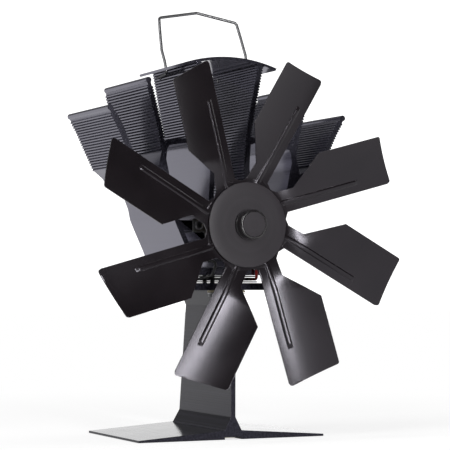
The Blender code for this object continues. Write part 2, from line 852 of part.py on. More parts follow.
def build_plate(still, material, screw_material):
    ear = plate_ear_height / 2
    angle = math.asin(ear / plate_radius)
    steps = 14
    right = [(plate_ear_reach, -ear), (plate_ear_reach, ear)]
    upper = [(plate_radius * math.cos(angle + (math.pi - 2 * angle) * i / steps),
              plate_radius * math.sin(angle + (math.pi - 2 * angle) * i / steps)) for i in range(steps + 1)]
    outline = right + upper + [(-x, -z) for x, z in right + upper]
    loops = [outline, circle(bearing_radius + fit_gap, hole_sides)]
    hole = small_screw_radius + fit_gap
    for side in (-1, 1):
        loops.append(circle(hole, small_sides, (side * plate_screw_offset, 0)))
        loops.append(circle(hole, small_sides, (0, side * motor_screw_offset)))
    profile_piece("motor_plate", loops, plate_front, plate_front + plate_thick, material, still)
    head_back = plate_front - fit_gap
    edge = small_head_thick / 4
    head_front = head_back - small_head_thick
    head = [(small_head_radius - edge, head_front), (small_head_radius, head_front + edge),
            (small_head_radius, head_back), (small_screw_radius, head_back)]
    long_screw = head + [(small_screw_radius, sink_front + small_screw_length - 2 * fit_gap)]
    long = turned_piece("plate_screw", long_screw, small_sides, screw_material, still,
                        (-plate_screw_offset, 0, 0))
    add_copies(long, [(plate_screw_offset, 0, 0)])
    short_screw = head + [(small_screw_radius, sink_front + motor_screw_length)]
    short = turned_piece("motor_screw", short_screw, small_sides, screw_material, still,
                         (0, 0, -motor_screw_offset))
    add_copies(short, [(0, 0, motor_screw_offset)])


def blade_y(along, across):
    """Front of the sheet: along runs out from the axis, across from the blade's straight edge."""
    span = max(0.0, min(1.0, (along - twist_start) / (twist_end - twist_start)))
    twist = span * span * (3 - 2 * span)
    share = across / blade_width
    out = max(0.0, along - twist_start) / (rotor_radius - twist_start)
    bow = 4 * share * (1 - share) * blade_camber
    return sheet_front - blade_lean * out - twist * (math.tan(blade_pitch) * across - bow)


def press_height(along, across):
    side = abs(across - press_offset) / (press_width / 2)
    if side >= 1.0:
        return 0.0
    fade = max(0.0, min(1.0, (press_end_radius + press_width / 2 - along) / (press_width / 2)))
    return rib_press * fade * math.sqrt(1 - side * side)


def blade_columns():
    """Places across the blade, from the straight edge; the neck carries the first of them."""
    half = press_width / 2
    corner = blade_tip_corner
    neck = [0.0, corner * corner_column_share, corner, press_offset - half, press_offset - half / 2,
            press_offset + half / 2, press_offset + half, neck_width]
    rest = blade_width - neck_width
    outer = [neck_width + rest * wide_column_share, blade_width - corner,
             blade_width - corner * corner_column_share, blade_width]
    return neck, outer


def tip_run(across):
    """How far out the tip's edge lies, with its corners rounded."""
    run = rotor_radius - blade_tip_slant * across / blade_width
    edge = min(across, blade_width - across)
    if edge < blade_tip_corner:
        run -= blade_tip_corner - math.sqrt(blade_tip_corner ** 2 - (blade_tip_corner - edge) ** 2)
    return run


def build_blades(axis, material):
    neck, outer = blade_columns()
    bm = bmesh.new()
    turns = [rotor_start_angle - 2 * math.pi * i / blade_count for i in range(blade_count)]

    def vert(along, across, turn):
        side = blade_edge_offset + across
        x = along * math.cos(turn) - side * math.sin(turn)
        z = along * math.sin(turn) + side * math.cos(turn)
        return bm.verts.new((x, blade_y(along, across) - press_height(along, across), z))

    shelf = [neck_end_radius, 0.5 * (neck_end_radius + blade_shoulder_radius), blade_shoulder_radius,
             press_end_radius, press_end_radius + press_width / 2]
    rim = []
    for turn in turns:
        grid = []
        for across in neck:
            root = neck_root_high + (neck_root_low - neck_root_high) * across / neck_width
            tip = tip_run(across)
            runs = [root] + shelf + [0.5 * (shelf[-1] + tip), tip]
            grid.append([vert(run, across, turn) for run in runs])
        base_tip = tip_run(neck_width)
        shares = [(run - neck_end_radius) / (base_tip - neck_end_radius) for run in shelf[1:]]
        shares = [0.0] + shares + [0.5 * (shares[-1] + 1.0), 1.0]
        wide = [grid[-1][1:]]
        for across in outer:
            slope = (across - neck_width) / (blade_width - neck_width)
            start = neck_end_radius + (blade_shoulder_radius - neck_end_radius) * slope
            wide.append([vert(start + (tip_run(across) - start) * s, across, turn) for s in shares])
        for table in (grid, wide):
            for first, second in zip(table, table[1:]):
                for index in range(len(first) - 1):
                    bm.faces.new((first[index], first[index + 1], second[index + 1], second[index]))
        rim.append([column[0] for column in grid])
    boundary = []
    for index, roots in enumerate(rim):
        turn = turns[index]
        # the notch's bottom lies just past the straight edge, towards the next blade
        notch = turn - notch_angle
        bottom = bm.verts.new((notch_radius * math.cos(notch), sheet_front, notch_radius * math.sin(notch)))
        boundary += list(reversed(roots)) + [bottom]
    edges = []
    for index, item in enumerate(boundary):
        after = boundary[(index + 1) % len(boundary)]
        edges.append(bm.edges.get((item, after)) or bm.edges.new((item, after)))
    ring = [bm.verts.new((a, sheet_front, b)) for a, b in circle(sheet_bore, hole_sides)]
    for index, item in enumerate(ring):
        edges.append(bm.edges.new((item, ring[(index + 1) % len(ring)])))
    bmesh.ops.triangle_fill(bm, use_beauty=True, edges=edges, normal=(0, -1, 0))
    raised = bmesh.ops.extrude_face_region(bm, geom=list(bm.faces))
    moved = [item for item in raised["geom"] if isinstance(item, bmesh.types.BMVert)]
    bmesh.ops.translate(bm, verts=moved, vec=(0, sheet_thick, 0))
    return finish_mesh("blade_wheel", bm, material, axis, smooth=True)


def build_hub(axis, disc_material, brass, knob_material, steel):
    fade = disc_radius * disc_fade_share
    disc = [(sheet_bore, disc_front), (fade, disc_front),
            (disc_radius - disc_thick / 2, disc_front + disc_edge_drop),
            (disc_radius, disc_front + disc_edge_drop + disc_thick / 4), (disc_radius, disc_back),
            (sheet_bore, disc_back)]
    turned_piece("hub_disc", disc, 48, disc_material, axis, hollow=True)
    shoulder = sheet_back + fit_gap
    spigot_end = shoulder - spigot_length
    shaft_end = spigot_end + spigot_length * shaft_tip_share
    edge = boss_radius * boss_edge_share
    boss = [(shaft_bore, shoulder + boss_length), (boss_radius - edge, shoulder + boss_length),
            (boss_radius, shoulder + boss_length - edge), (boss_radius, shoulder), (spigot_radius, shoulder),
            (spigot_radius, spigot_end)]
    solid = boss + [(shaft_bore, spigot_end), (shaft_bore, shoulder + boss_length)]
    piece = turned_piece("hub_boss", solid[:-1], round_sides, brass, axis, hollow=True)
    grub_y = shoulder + boss_length / 2
    cut(piece, "hub_boss_cutter", [(rod(grub_radius + fit_gap, shaft_radius / 2, boss_radius + cut_overrun),
                                    small_sides, "Z", (0, grub_y, 0))])
    turned_piece("hub_grub_screw", rod(grub_radius, shaft_bore, boss_radius), small_sides, steel, axis,
                 (0, grub_y, 0), "Z")
    knob_back = disc_front - fit_gap
    knob_front = knob_back - knob_length
    bore = spigot_radius + fit_gap
    floor = spigot_end - fit_gap
    rim = knob_radius - 2 * knob_edge
    knob = [(bore, floor), (bore, knob_back), (knob_radius, knob_back),
            (knob_radius, knob_front + knob_edge), (knob_radius - knob_edge, knob_front),
            (rim, knob_front), (rim - knob_edge / 2, knob_front + knob_dish)]
    turned_piece("hub_knob", knob, round_sides, knob_material, axis)
    rear = sink_front + motor_length + fit_gap + motor_cap_thick - fit_gap
    turned_piece("motor_shaft", rod(shaft_radius, shaft_end, rear), hole_sides, steel, axis)


def rounded_route(points, radius, steps=5):
    """Straight runs with a bend of this radius at each corner."""
    guide = [Vector(p) for p in points]
    route = [guide[0]]
    for before, corner, after in zip(guide, guide[1:], guide[2:]):
        into = (before - corner).normalized()
        out = (after - corner).normalized()
        turn = math.pi - into.angle(out)
        if turn < math.radians(2):
            route.append(corner)
            continue
        room = 0.45 * min((before - corner).length, (after - corner).length)
        reach = min(radius * math.tan(turn / 2), room)
        first, last = corner + into * reach, corner + out * reach
        for index in range(steps + 1):
            t = index / steps
            route.append(first * (1 - t) ** 2 + corner * 2 * t * (1 - t) + last * t * t)
    route.append(guide[-1])
    return route


def wire(name, route, radius, material, parent):
    curve = bpy.data.curves.new(name, "CURVE")
    curve.dimensions = "3D"
    curve.bevel_depth = radius
    curve.bevel_resolution = 2
    curve.use_fill_caps = True
    line = curve.splines.new("POLY")
    line.points.add(len(route) - 1)
    for point, place in zip(line.points, route):
        point.co = (*place, 1.0)
    return add_object(name, curve, material, parent)


def hook_height():
    return dome_z(handle_foot_half, dome_thick) - handle_wire_radius - fit_gap - handle_hook_drop / 4


def build_handle(parent, material):
    top = arm_lines()[2]
    hook_z = hook_height()
    wall = abs(top.place(band_run(top, hook_z), 0)[0])
    outside = arm_core_thick / 2 + rib_height
    foot_z = dome_z(handle_foot_half, dome_thick / 2)
    rise = math.cos(handle_lean)
    back = math.sin(handle_lean)

    def leaned(x, run):
        return (x, handle_slot_y + run * back, foot_z + run * rise)

    bow = handle_foot_half + handle_bow
    leg = handle_height / rise
    half = [(wall - outside, handle_hook_y, hook_z), (wall + outside + handle_bend, handle_hook_y, hook_z),
            leaned(handle_foot_half, (hook_z - foot_z) / rise),
            leaned(handle_foot_half, handle_low_share * leg), leaned(bow, handle_bow_share * leg),
            leaned((bow + handle_top_half) / 2, handle_high_share * leg), leaned(handle_top_half, leg)]
    apex = leaned(0, leg + handle_apex_rise / rise)
    points = [(-x, y, z) for x, y, z in half] + [apex] + list(reversed(half))
    wire("handle", rounded_route(points, handle_bend), handle_wire_radius, material, parent)


def build_leads(parent, red, black, lead_z, terminal_end):
    front = sink_front - lead_front_gap
    start_y = module_setback - module_side / 2 + module_core_inset / 2
    floor_z = sink_bottom + foot_thick
    run_z = floor_z + 3 * lead_radius + 2 * fit_gap
    run_x = tube_radius * lead_run_share
    behind = -front
    up_x = lead_start_half * lead_up_share
    end = (terminal_offset, terminal_end + fit_gap, axis_height)
    red_route = [(lead_start_half, start_y, lead_z), (lead_start_half, (start_y + front) / 2, lead_z),
                 (up_x, front, lead_z + lead_radius), (up_x, front, run_z + lead_radius),
                 (run_x, sink_front, run_z + 2 * lead_radius), (run_x, -sink_front, run_z + 2 * lead_radius),
                 (terminal_offset * lead_rise_share, behind, run_z + 5 * lead_radius),
                 (terminal_offset, behind, axis_height - 3 * lead_radius),
                 (terminal_offset, -sink_front * lead_back_share, axis_height), end]
    wire("red_lead", rounded_route(red_route, lead_bend, 4), lead_radius, red, parent)
    black_route = [(-lead_start_half, start_y, lead_z), (-lead_start_half, (start_y + front) / 2, lead_z),
                   (-up_x * black_lead_up_share, front, lead_z + 2 * lead_radius),
                   (-up_x * black_lead_low_share, front, run_z)]
    black_route += [(-x, y, z) for x, y, z in red_route[4:]]
    wire("black_lead", rounded_route(black_route, lead_bend, 4), lead_radius, black, parent)


def build():
    clear_scene()
    black_metal = surface("black_anodised", (0.030, 0.028, 0.031), 0.42, 0.6)
    blade_metal = surface("blade_black", (0.034, 0.030, 0.033), 0.34, 0.6)
    disc_metal = surface("disc_grey", (0.055, 0.050, 0.055), 0.45, 0.5)
    steel = surface("steel", (0.55, 0.55, 0.56), 0.30, 1.0)
    can_steel = surface("zinc_steel", (0.50, 0.50, 0.51), 0.38, 1.0)
    dark_steel = surface("dark_steel", (0.18, 0.18, 0.19), 0.45, 0.9)
    brass = surface("brass", (0.60, 0.42, 0.16), 0.32, 1.0)
    bronze = surface("bronze", (0.42, 0.26, 0.13), 0.45, 1.0)
    copper = surface("copper", (0.60, 0.26, 0.12), 0.35, 1.0)
    ceramic = surface("ceramic_white", (0.78, 0.77, 0.74), 0.55, 0.0)
    core = surface("module_grey", (0.22, 0.22, 0.23), 0.60, 0.2)
    plastic = surface("cap_plastic", (0.72, 0.71, 0.66), 0.50, 0.0)
    bush = surface("bush_plastic", (0.62, 0.56, 0.40), 0.50, 0.0)
    carbon = surface("carbon", (0.03, 0.03, 0.03), 0.70, 0.0)
    ferrite = surface("ferrite", (0.05, 0.05, 0.05), 0.65, 0.1)
    bimetal = surface("bimetal", (0.48, 0.44, 0.38), 0.40, 1.0)
    red = surface("red_sleeve", (0.45, 0.02, 0.02), 0.45, 0.0)
    black = surface("black_sleeve", (0.02, 0.02, 0.02), 0.45, 0.0)

    fan = bpy.data.objects.new("fan_frame", None)
    still = bpy.data.objects.new("motor_frame", None)
    turning = bpy.data.objects.new("rotor_axis", None)
    for item in (fan, still, turning):
        bpy.context.collection.objects.link(item)
    still.parent = fan
    turning.parent = fan
    still.location = (0, 0, axis_height)
    turning.location = (0, 0, axis_height)

    stand = build_stand(fan, black_metal)
    build_strip(fan, bimetal, steel)
    lead_z = build_module(fan, ceramic, core)
    build_sink(fan, black_metal)
    build_clamps(fan, dark_steel, bush, steel)
    terminal_end = build_motor(still, turning, can_steel, plastic, ferrite, bronze, copper, brass, carbon)
    build_plate(still, can_steel, dark_steel)
    blades = build_blades(turning, blade_metal)
    build_hub(turning, disc_metal, brass, black_metal, steel)
    build_handle(fan, steel)
    build_leads(fan, red, black, lead_z, terminal_end)

    # the middle of the whole depth, from the blades' front to the stand's back, comes to Y = 0
    blade_front = min(v.co.y for v in blades.data.vertices)
    stand_back = max(v.co.y for v in stand.data.vertices)
    fan.location = (0, -(blade_front + stand_back) / 2, 0)
    bpy.context.view_layer.update()


build()
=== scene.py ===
"""Looks of the stove fan: black extruded body and stand, eight coated blades, a turned hub,
a bent wire handle and the small motor behind the blades, on a pale floor.

Metres, +Z up, +Y to the back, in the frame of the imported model.
"""

import math

import bmesh
import bpy
from mathutils import Matrix, Vector


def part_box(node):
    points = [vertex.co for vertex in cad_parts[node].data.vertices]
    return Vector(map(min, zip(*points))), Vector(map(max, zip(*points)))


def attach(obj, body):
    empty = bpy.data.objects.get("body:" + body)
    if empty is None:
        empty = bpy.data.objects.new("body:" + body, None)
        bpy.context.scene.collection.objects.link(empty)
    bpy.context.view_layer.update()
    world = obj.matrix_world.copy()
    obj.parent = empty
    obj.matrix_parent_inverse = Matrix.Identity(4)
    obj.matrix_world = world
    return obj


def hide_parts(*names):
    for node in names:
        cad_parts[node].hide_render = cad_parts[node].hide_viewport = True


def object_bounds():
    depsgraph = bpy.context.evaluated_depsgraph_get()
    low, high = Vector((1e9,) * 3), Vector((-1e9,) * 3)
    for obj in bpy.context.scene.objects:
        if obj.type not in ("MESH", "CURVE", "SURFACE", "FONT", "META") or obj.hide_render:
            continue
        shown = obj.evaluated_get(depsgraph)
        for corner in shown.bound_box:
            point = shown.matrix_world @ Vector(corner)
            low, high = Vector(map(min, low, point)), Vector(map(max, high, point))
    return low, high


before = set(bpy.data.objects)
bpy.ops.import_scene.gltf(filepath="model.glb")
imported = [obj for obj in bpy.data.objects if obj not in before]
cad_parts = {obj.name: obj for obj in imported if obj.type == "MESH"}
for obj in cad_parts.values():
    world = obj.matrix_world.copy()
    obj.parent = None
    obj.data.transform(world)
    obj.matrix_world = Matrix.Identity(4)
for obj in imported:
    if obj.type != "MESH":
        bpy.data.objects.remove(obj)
cad_low, cad_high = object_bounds()

mm = 0.001
white = (1.0, 1.0, 1.0, 1.0)

# Camera: where the photograph was taken from
image_width = 450
sensor_width = 36.0
focal_pixels = 1773.9
camera_place = Vector((-415.08, -880.18, 82.99)) * mm
camera_way = Vector((0.43052, 0.90196, 0.03352))
camera_roll = math.radians(0.09)
farthest_seen = 20.0

# Blades: one sheet, cut and twisted
blade_count = 8
rotor_radius = 89.6 * mm
rotor_start_angle = math.radians(105.4)
blade_width = 27.0 * mm
blade_edge_offset = 0.45 * mm
blade_tip_slant = 5.8 * mm
blade_tip_corner = 2.2 * mm
blade_far_corner = 1.1 * mm
blade_shoulder_radius = 46.3 * mm
neck_width = 11.9 * mm
neck_end_radius = 30.9 * mm
neck_root_high = 25.4 * mm
neck_root_low = 21.6 * mm
notch_radius = 23.6 * mm
notch_angle = math.radians(7.1)
sheet_thick = 0.8 * mm
sheet_bore = 3.3 * mm
blade_pitch = math.radians(20.3)
blade_lean = 3.6 * mm
blade_camber = 1.2 * mm
twist_start = 20.5 * mm
twist_end = 40.0 * mm

# Rib pressed into each blade: more fullness flattens its top, more flank softens its sides
rib_press = 0.6 * mm
press_width = 2.7 * mm
press_end_radius = 67.5 * mm
press_offset = 5.5 * mm
press_fullness = 4
press_flank = 0.8

# Grid over a blade: fine across the rib, wider towards the far edge
neck_columns = 30
neck_rows = 8
far_columns = 16
blade_rows = 56
neck_side_share = 0.2
neck_fine_half = 0.6 * press_width
far_column_ease = 1.5

# Hub: a disc whose rim falls away, then a cap with a thin line round its face
disc_gap = 0.3 * mm
disc_flat_share = 0.78
disc_drop = 0.30 * mm
disc_curve_steps = 6
disc_curve_inset = 0.35 * mm
disc_rim_inset = 0.12 * mm
disc_rim_run = 0.2 * mm
disc_edge = 0.05 * mm
cap_edge = 0.95 * mm
cap_edge_steps = 8
cap_face_sink = 0.06 * mm
cap_line_depth = 0.30 * mm
cap_line_inset = 0.25 * mm
cap_line_slope = 0.15 * mm
cap_groove = 0.25 * mm
cap_groove_run = 1.5 * mm
cap_back_edge = 0.2 * mm

# Handle: a bent wire that passes through the dome and hooks into an arm on each side
wire_radius = 0.8 * mm
handle_foot_half = 25.2 * mm
handle_bow = 0.6 * mm
handle_top_half = 23.9 * mm
handle_height = 30.0 * mm
handle_apex_rise = 4.5 * mm
handle_lean = math.radians(23.2)
handle_bend = 2.2 * mm
handle_slot_back = 12.33 * mm
straight_foot_share = 0.15
bow_start_share = 0.36
bow_end_share = 0.72
arm_half = 1.75 * mm
bend_steps = 8
least_bend = math.radians(2)
bend_room_share = 0.45

# Screws: domed heads with a cross recess
screw_shank_radius = 1.25 * mm
clamp_shank_radius = 1.30 * mm
small_head_thick = 1.4 * mm
clamp_head_thick = 1.6 * mm
head_dome_share = 0.45
head_dome_steps = 10
head_edge = 0.1 * mm
shank_tip_edge = 0.3 * mm
recess_reach = 1.35 * mm
recess_width = 0.55 * mm
recess_depth = 0.8 * mm
recess_narrowing = 0.55
recess_turn = math.radians(20)
thread_pitch = 0.5 * mm
thread_depth = 0.12 * mm

# Bushes, washers, rivets, shaft and solder tags
clearance = 0.3 * mm
bush_wall = 0.5 * mm
bush_collar_thick = 1.0 * mm
bush_collar_edge = 0.15 * mm
bush_sleeve_edge = 0.1 * mm
washer_split = 0.35 * mm
washer_split_lean = math.radians(18)
washer_edge = 0.08 * mm
rivet_dome = 0.22 * mm
rivet_dome_steps = 8
rivet_edge = 0.1 * mm
shaft_edge = 0.25 * mm
tag_hole_radius = 0.55 * mm
tag_hole_inset = 2.5 * tag_hole_radius

# Steps round turned pieces, and the angles from which their edges stay sharp
small_steps = 36
shaft_steps = 48
bore_steps = 48
cap_steps = 96
disc_steps = 128
tag_hole_steps = 24
turned_sharp_angle = 35.0
disc_sharp_angle = 50.0
cap_sharp_angle = 40.0

# Small edges, and the angles from which they are rounded
cast_edge = 0.16 * mm
sheet_edge = 0.10 * mm
fine_edge = 0.06 * mm
edge_segments = 2
edge_angle = 32.0
blade_edge_angle = 50.0
sink_edge_angle = 38.0
stand_edge_angle = 18.0
lead_edge_angle = 60.0

# Distances below which points are joined, and the bend below which faces count as flat
spin_weld = 0.001 * mm
mesh_weld = 0.002 * mm
flat_bend = math.radians(0.6)

# Added roughness at the bottom of narrow hollows
hollow_dullness = 0.80

# Floor: near the fan it takes the shadow, further out it is plain white
floor_half = 4.0
floor_drop = 0.1 * mm
floor_glow = 0.66
floor_fade_start = 0.12
floor_fade_end = 0.45
floor_gloss_start = -0.40
floor_gloss_end = -0.20
floor_gloss_near = 0.15
floor_gloss_far = 0.72

# Room light: the same from all sides, while gloss sees a dim front and the white sweep behind
room_level = 0.26
gloss_front = 0.07
sweep_way = (0.50, 0.866, 0.0)
sweep_low = 0.10
sweep_high = 0.30
sweep_above = 0.15
sweep_level = 1.4


# Places read from the imported model

def middle(node):
    low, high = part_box(node)
    return (low + high) / 2


rotor_axis = middle("hub_disc")
disc_low, disc_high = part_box("hub_disc")
sheet_front = disc_high.y + rib_press + disc_gap


# Tools

def new_mesh_object(name, bm):
    mesh = bpy.data.meshes.new(name)
    bm.to_mesh(mesh)
    bm.free()
    piece = bpy.data.objects.new(name, mesh)
    bpy.context.collection.objects.link(piece)
    return piece


def soften(piece, width, angle=edge_angle):
    """Round the sharp edges and shade the rest smoothly."""
    piece.data.shade_smooth()
    bevel = piece.modifiers.new("edges", "BEVEL")
    bevel.width = width
    bevel.segments = edge_segments
    bevel.limit_method = "ANGLE"
    bevel.angle_limit = math.radians(angle)
    bevel.miter_outer = "MITER_ARC"
    even = piece.modifiers.new("even shading", "WEIGHTED_NORMAL")
    even.keep_sharp = True
    even.weight = 90
    return piece


def dress(piece, material, body, nodes):
    """Give a finished piece its material and its body, and hide the nodes that it stands for."""
    piece.data.materials.clear()
    piece.data.materials.append(material)
    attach(piece, body)
    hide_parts(*nodes)


def turn(bm, items, angle, axis):
    """Turn points about an axis through the origin."""
    bmesh.ops.rotate(bm, verts=items, cent=(0, 0, 0), matrix=Matrix.Rotation(angle, 3, axis))


def rounding(radius, along, reach_out, reach_along, steps):
    """Quarter of an oval, from its front out to its side, as (radius, along) points."""
    angles = [math.pi / 2 * index / steps for index in range(steps + 1)]
    return [(radius + reach_out * math.sin(angle), along - reach_along * math.cos(angle))
            for angle in angles]


def turned(name, outline, centre, axis, steps=small_steps, sharp=turned_sharp_angle):
    """Spin (radius, along) points about a line through the centre, along Y or Z.

    An outline that stays clear of the axis at both ends closes on itself.
    """
    away = Vector((1, 0, 0))
    along = Vector((0, 1, 0)) if axis == "Y" else Vector((0, 0, 1))
    base = Vector(centre)
    base -= along * base.dot(along)
    bm = bmesh.new()
    verts = [bm.verts.new(base + away * radius + along * run) for radius, run in outline]
    edges = [bm.edges.new(pair) for pair in zip(verts, verts[1:])]
    if outline[0][0] > 0 and outline[-1][0] > 0:
        edges.append(bm.edges.new((verts[-1], verts[0])))
    bmesh.ops.spin(bm, geom=verts + edges, cent=base, axis=along, angle=2 * math.pi,
                   steps=steps, use_merge=True)
    bmesh.ops.remove_doubles(bm, verts=bm.verts, dist=spin_weld)
    bmesh.ops.recalc_face_normals(bm, faces=bm.faces)
    piece = new_mesh_object(name, bm)
    piece.data.shade_smooth()
    piece.data.set_sharp_from_angle(angle=math.radians(sharp))
    return piece


def merged_copy(node):
    """The node's own shape with its loose triangles joined and its flat areas made whole."""
    bm = bmesh.new()
    bm.from_mesh(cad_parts[node].data)
    bmesh.ops.remove_doubles(bm, verts=bm.verts, dist=mesh_weld)
    bmesh.ops.dissolve_limit(bm, angle_limit=flat_bend, verts=bm.verts, edges=bm.edges)
    return bm


def carve(piece, cutter_bm):
    """Take the cutter's shape out of a piece and keep the result as its mesh.

    The cutter may be several bodies that cross each other.
    """
    cutter = new_mesh_object("cutter", cutter_bm)
    boolean = piece.modifiers.new("carve", "BOOLEAN")
    boolean.operation = "DIFFERENCE"
    boolean.use_self = True
    boolean.object = cutter
    graph = bpy.context.evaluated_depsgraph_get()
    carved = bpy.data.meshes.new_from_object(piece.evaluated_get(graph))
    if not carved.polygons:
        raise ValueError("nothing is left of " + piece.name)
    piece.modifiers.remove(boolean)
    piece.data = carved
    bpy.data.objects.remove(cutter, do_unlink=True)


# Node groups: effects that several finishes share

def new_group(name, inputs, outputs):
    group = bpy.data.node_groups.new(name, "ShaderNodeTree")
    for label, kind, value in inputs:
        socket = group.interface.new_socket(label, in_out="INPUT", socket_type=kind)
        socket.default_value = value
    for label in outputs:
        group.interface.new_socket(label, in_out="OUTPUT", socket_type="NodeSocketFloat")
    start = group.nodes.new("NodeGroupInput")
    end = group.nodes.new("NodeGroupOutput")
    return group, start, end


def calculate(tree, operation, first, second=None, clamp=False):
    """A math node whose inputs are sockets or numbers."""
    node = tree.nodes.new("ShaderNodeMath")
    node.operation = operation
    node.use_clamp = clamp
    for socket, value in zip(node.inputs, (first, second)):
        if value is None:
            continue
        if isinstance(value, bpy.types.NodeSocket):
            tree.links.new(value, socket)
        else:
            socket.default_value = value
    return node.outputs[0]


def vector_math(tree, operation, vector):
    """A vector math node whose first input is the vector."""
    node = tree.nodes.new("ShaderNodeVectorMath")
    node.operation = operation
    tree.links.new(vector, node.inputs[0])
    return node


def noise(tree, vector, scale, detail, roughness=0.55):
    node = tree.nodes.new("ShaderNodeTexNoise")
    node.inputs["Scale"].default_value = scale
    node.inputs["Detail"].default_value = detail
    node.inputs["Roughness"].default_value = roughness
    tree.links.new(vector, node.inputs["Vector"])
    return node.outputs["Fac"]


def remap(tree, value, low, high, to_low=0.0, to_high=1.0):
    node = tree.nodes.new("ShaderNodeMapRange")
    node.interpolation_type = "SMOOTHSTEP"
    tree.links.new(value, node.inputs["Value"])
    ends = {"From Min": low, "From Max": high, "To Min": to_low, "To Max": to_high}
    for label, number in ends.items():
        node.inputs[label].default_value = number
    return node.outputs["Result"]


def object_place(tree):
    return tree.nodes.new("ShaderNodeTexCoord").outputs["Object"]


def make_drawn_lines():
    """Fine lines left by a die or by rolling, longer along one direction."""
    group, start, end = new_group(
        "drawn lines", [("Stretch", "NodeSocketVector", (900.0, 12.0, 900.0))],
        ["Height", "Streaks"])
    scaled = vector_math(group, "MULTIPLY", object_place(group))
    group.links.new(start.outputs["Stretch"], scaled.inputs[1])
    fine = noise(group, scaled.outputs[0], scale=2.6, detail=3.0, roughness=0.65)
    broad = noise(group, scaled.outputs[0], scale=0.8, detail=2.0)
    both = calculate(group, "ADD", calculate(group, "MULTIPLY", fine, 0.6),
                     calculate(group, "MULTIPLY", broad, 0.4))
    group.links.new(both, end.inputs["Height"])
    group.links.new(remap(group, broad, 0.34, 0.66), end.inputs["Streaks"])
    return group


def make_micro_grain():
    """Even grain of a blasted or coated surface, with slow cloudy variation."""
    group, start, end = new_group(
        "micro grain", [("Size", "NodeSocketFloat", 0.25 * mm)], ["Height", "Clouds"])
    scaled = vector_math(group, "SCALE", object_place(group))
    group.links.new(calculate(group, "DIVIDE", 1.0, start.outputs["Size"]),
                    scaled.inputs["Scale"])
    fine = noise(group, scaled.outputs[0], scale=1.0, detail=2.0)
    slow = noise(group, scaled.outputs[0], scale=0.012, detail=1.5)
    group.links.new(fine, end.inputs["Height"])
    group.links.new(remap(group, slow, 0.20, 0.80), end.inputs["Clouds"])
    return group


def make_turning_rings():
    """Rings left by a lathe tool about an axis that runs front to back."""
    group, start, end = new_group("turning rings", [("Pitch", "NodeSocketFloat", 0.20 * mm)],
                                  ["Height", "Rings"])
    offset = vector_math(group, "SUBTRACT", object_place(group))
    offset.inputs[1].default_value = rotor_axis
    parts = group.nodes.new("ShaderNodeSeparateXYZ")
    group.links.new(offset.outputs[0], parts.inputs[0])
    x, y, z = (parts.outputs[label] for label in "XYZ")
    squares = calculate(group, "ADD", calculate(group, "MULTIPLY", x, x),
                        calculate(group, "MULTIPLY", z, z))
    run = calculate(group, "DIVIDE", calculate(group, "SQRT", squares), start.outputs["Pitch"])
    depth = calculate(group, "DIVIDE", y, start.outputs["Pitch"])
    joined = group.nodes.new("ShaderNodeCombineXYZ")
    group.links.new(run, joined.inputs["X"])
    group.links.new(depth, joined.inputs["Y"])
    fine = noise(group, joined.outputs[0], scale=1.0, detail=2.0)
    broad = noise(group, joined.outputs[0], scale=0.12, detail=2.0)
    group.links.new(fine, end.inputs["Height"])
    group.links.new(remap(group, broad, 0.35, 0.65), end.inputs["Rings"])
    return group


def make_edge_wear_and_sheen():
    """Mask along the sharp edges, broken up by noise, where a finish has rubbed thin; on the
    blades it also paints a highlight along the edges.
    """
    group, start, end = new_group("edge wear and sheen", [("Radius", "NodeSocketFloat", 0.4 * mm)],
                                  ["Mask"])
    bevel = group.nodes.new("ShaderNodeBevel")
    bevel.samples = 4
    group.links.new(start.outputs["Radius"], bevel.inputs["Radius"])
    geometry = group.nodes.new("ShaderNodeNewGeometry")
    compare = vector_math(group, "DOT_PRODUCT", bevel.outputs["Normal"])
    group.links.new(geometry.outputs["True Normal"], compare.inputs[1])
    bend = calculate(group, "SUBTRACT", 1.0, compare.outputs["Value"])
    edge = remap(group, bend, 0.02, 0.16)
    spots = noise(group, object_place(group), scale=600.0, detail=4.0, roughness=0.7)
    patches = remap(group, spots, 0.42, 0.62)
    group.links.new(calculate(group, "MULTIPLY", edge, patches, clamp=True),
                    end.inputs["Mask"])
    return group


def make_hollows():
    """Mask that grows in narrow hollows, where a finish stays dull and collects dust."""
    group, start, end = new_group("hollows", [("Width", "NodeSocketFloat", 1.0 * mm)],
                                  ["Mask"])
    shade = group.nodes.new("ShaderNodeAmbientOcclusion")
    shade.samples = 6
    shade.only_local = True
    group.links.new(start.outputs["Width"], shade.inputs["Distance"])
    group.links.new(remap(group, shade.outputs["AO"], 0.60, 0.98, 1.0, 0.0),
                    end.inputs["Mask"])
    return group


drawn_lines = make_drawn_lines()
micro_grain = make_micro_grain()
turning_rings = make_turning_rings()
edge_wear_and_sheen = make_edge_wear_and_sheen()
hollows = make_hollows()


# Finishes

def new_material(name, colour, roughness, metallic=0.0, specular=0.5):
    material = bpy.data.materials.new(name)
    material.use_nodes = True
    shader = material.node_tree.nodes["Principled BSDF"]
    shader.inputs["Base Color"].default_value = (*colour, 1.0)
    shader.inputs["Roughness"].default_value = roughness
    shader.inputs["Metallic"].default_value = metallic
    shader.inputs["Specular IOR Level"].default_value = specular
    material.diffuse_color = (*colour, 1.0)
    return material, material.node_tree, shader


def place_group(tree, group, **values):
    node = tree.nodes.new("ShaderNodeGroup")
    node.node_tree = group
    for label, value in values.items():
        node.inputs[label].default_value = value
    return node


def vary_colour(tree, shader, first, second, mask):
    """Base colour that goes from the first to the second with a mask."""
    mix = tree.nodes.new("ShaderNodeMix")
    mix.data_type = "RGBA"
    mix.inputs["A"].default_value = (*first, 1.0)
    mix.inputs["B"].default_value = (*second, 1.0)
    tree.links.new(mask, mix.inputs["Factor"])
    tree.links.new(mix.outputs["Result"], shader.inputs["Base Color"])


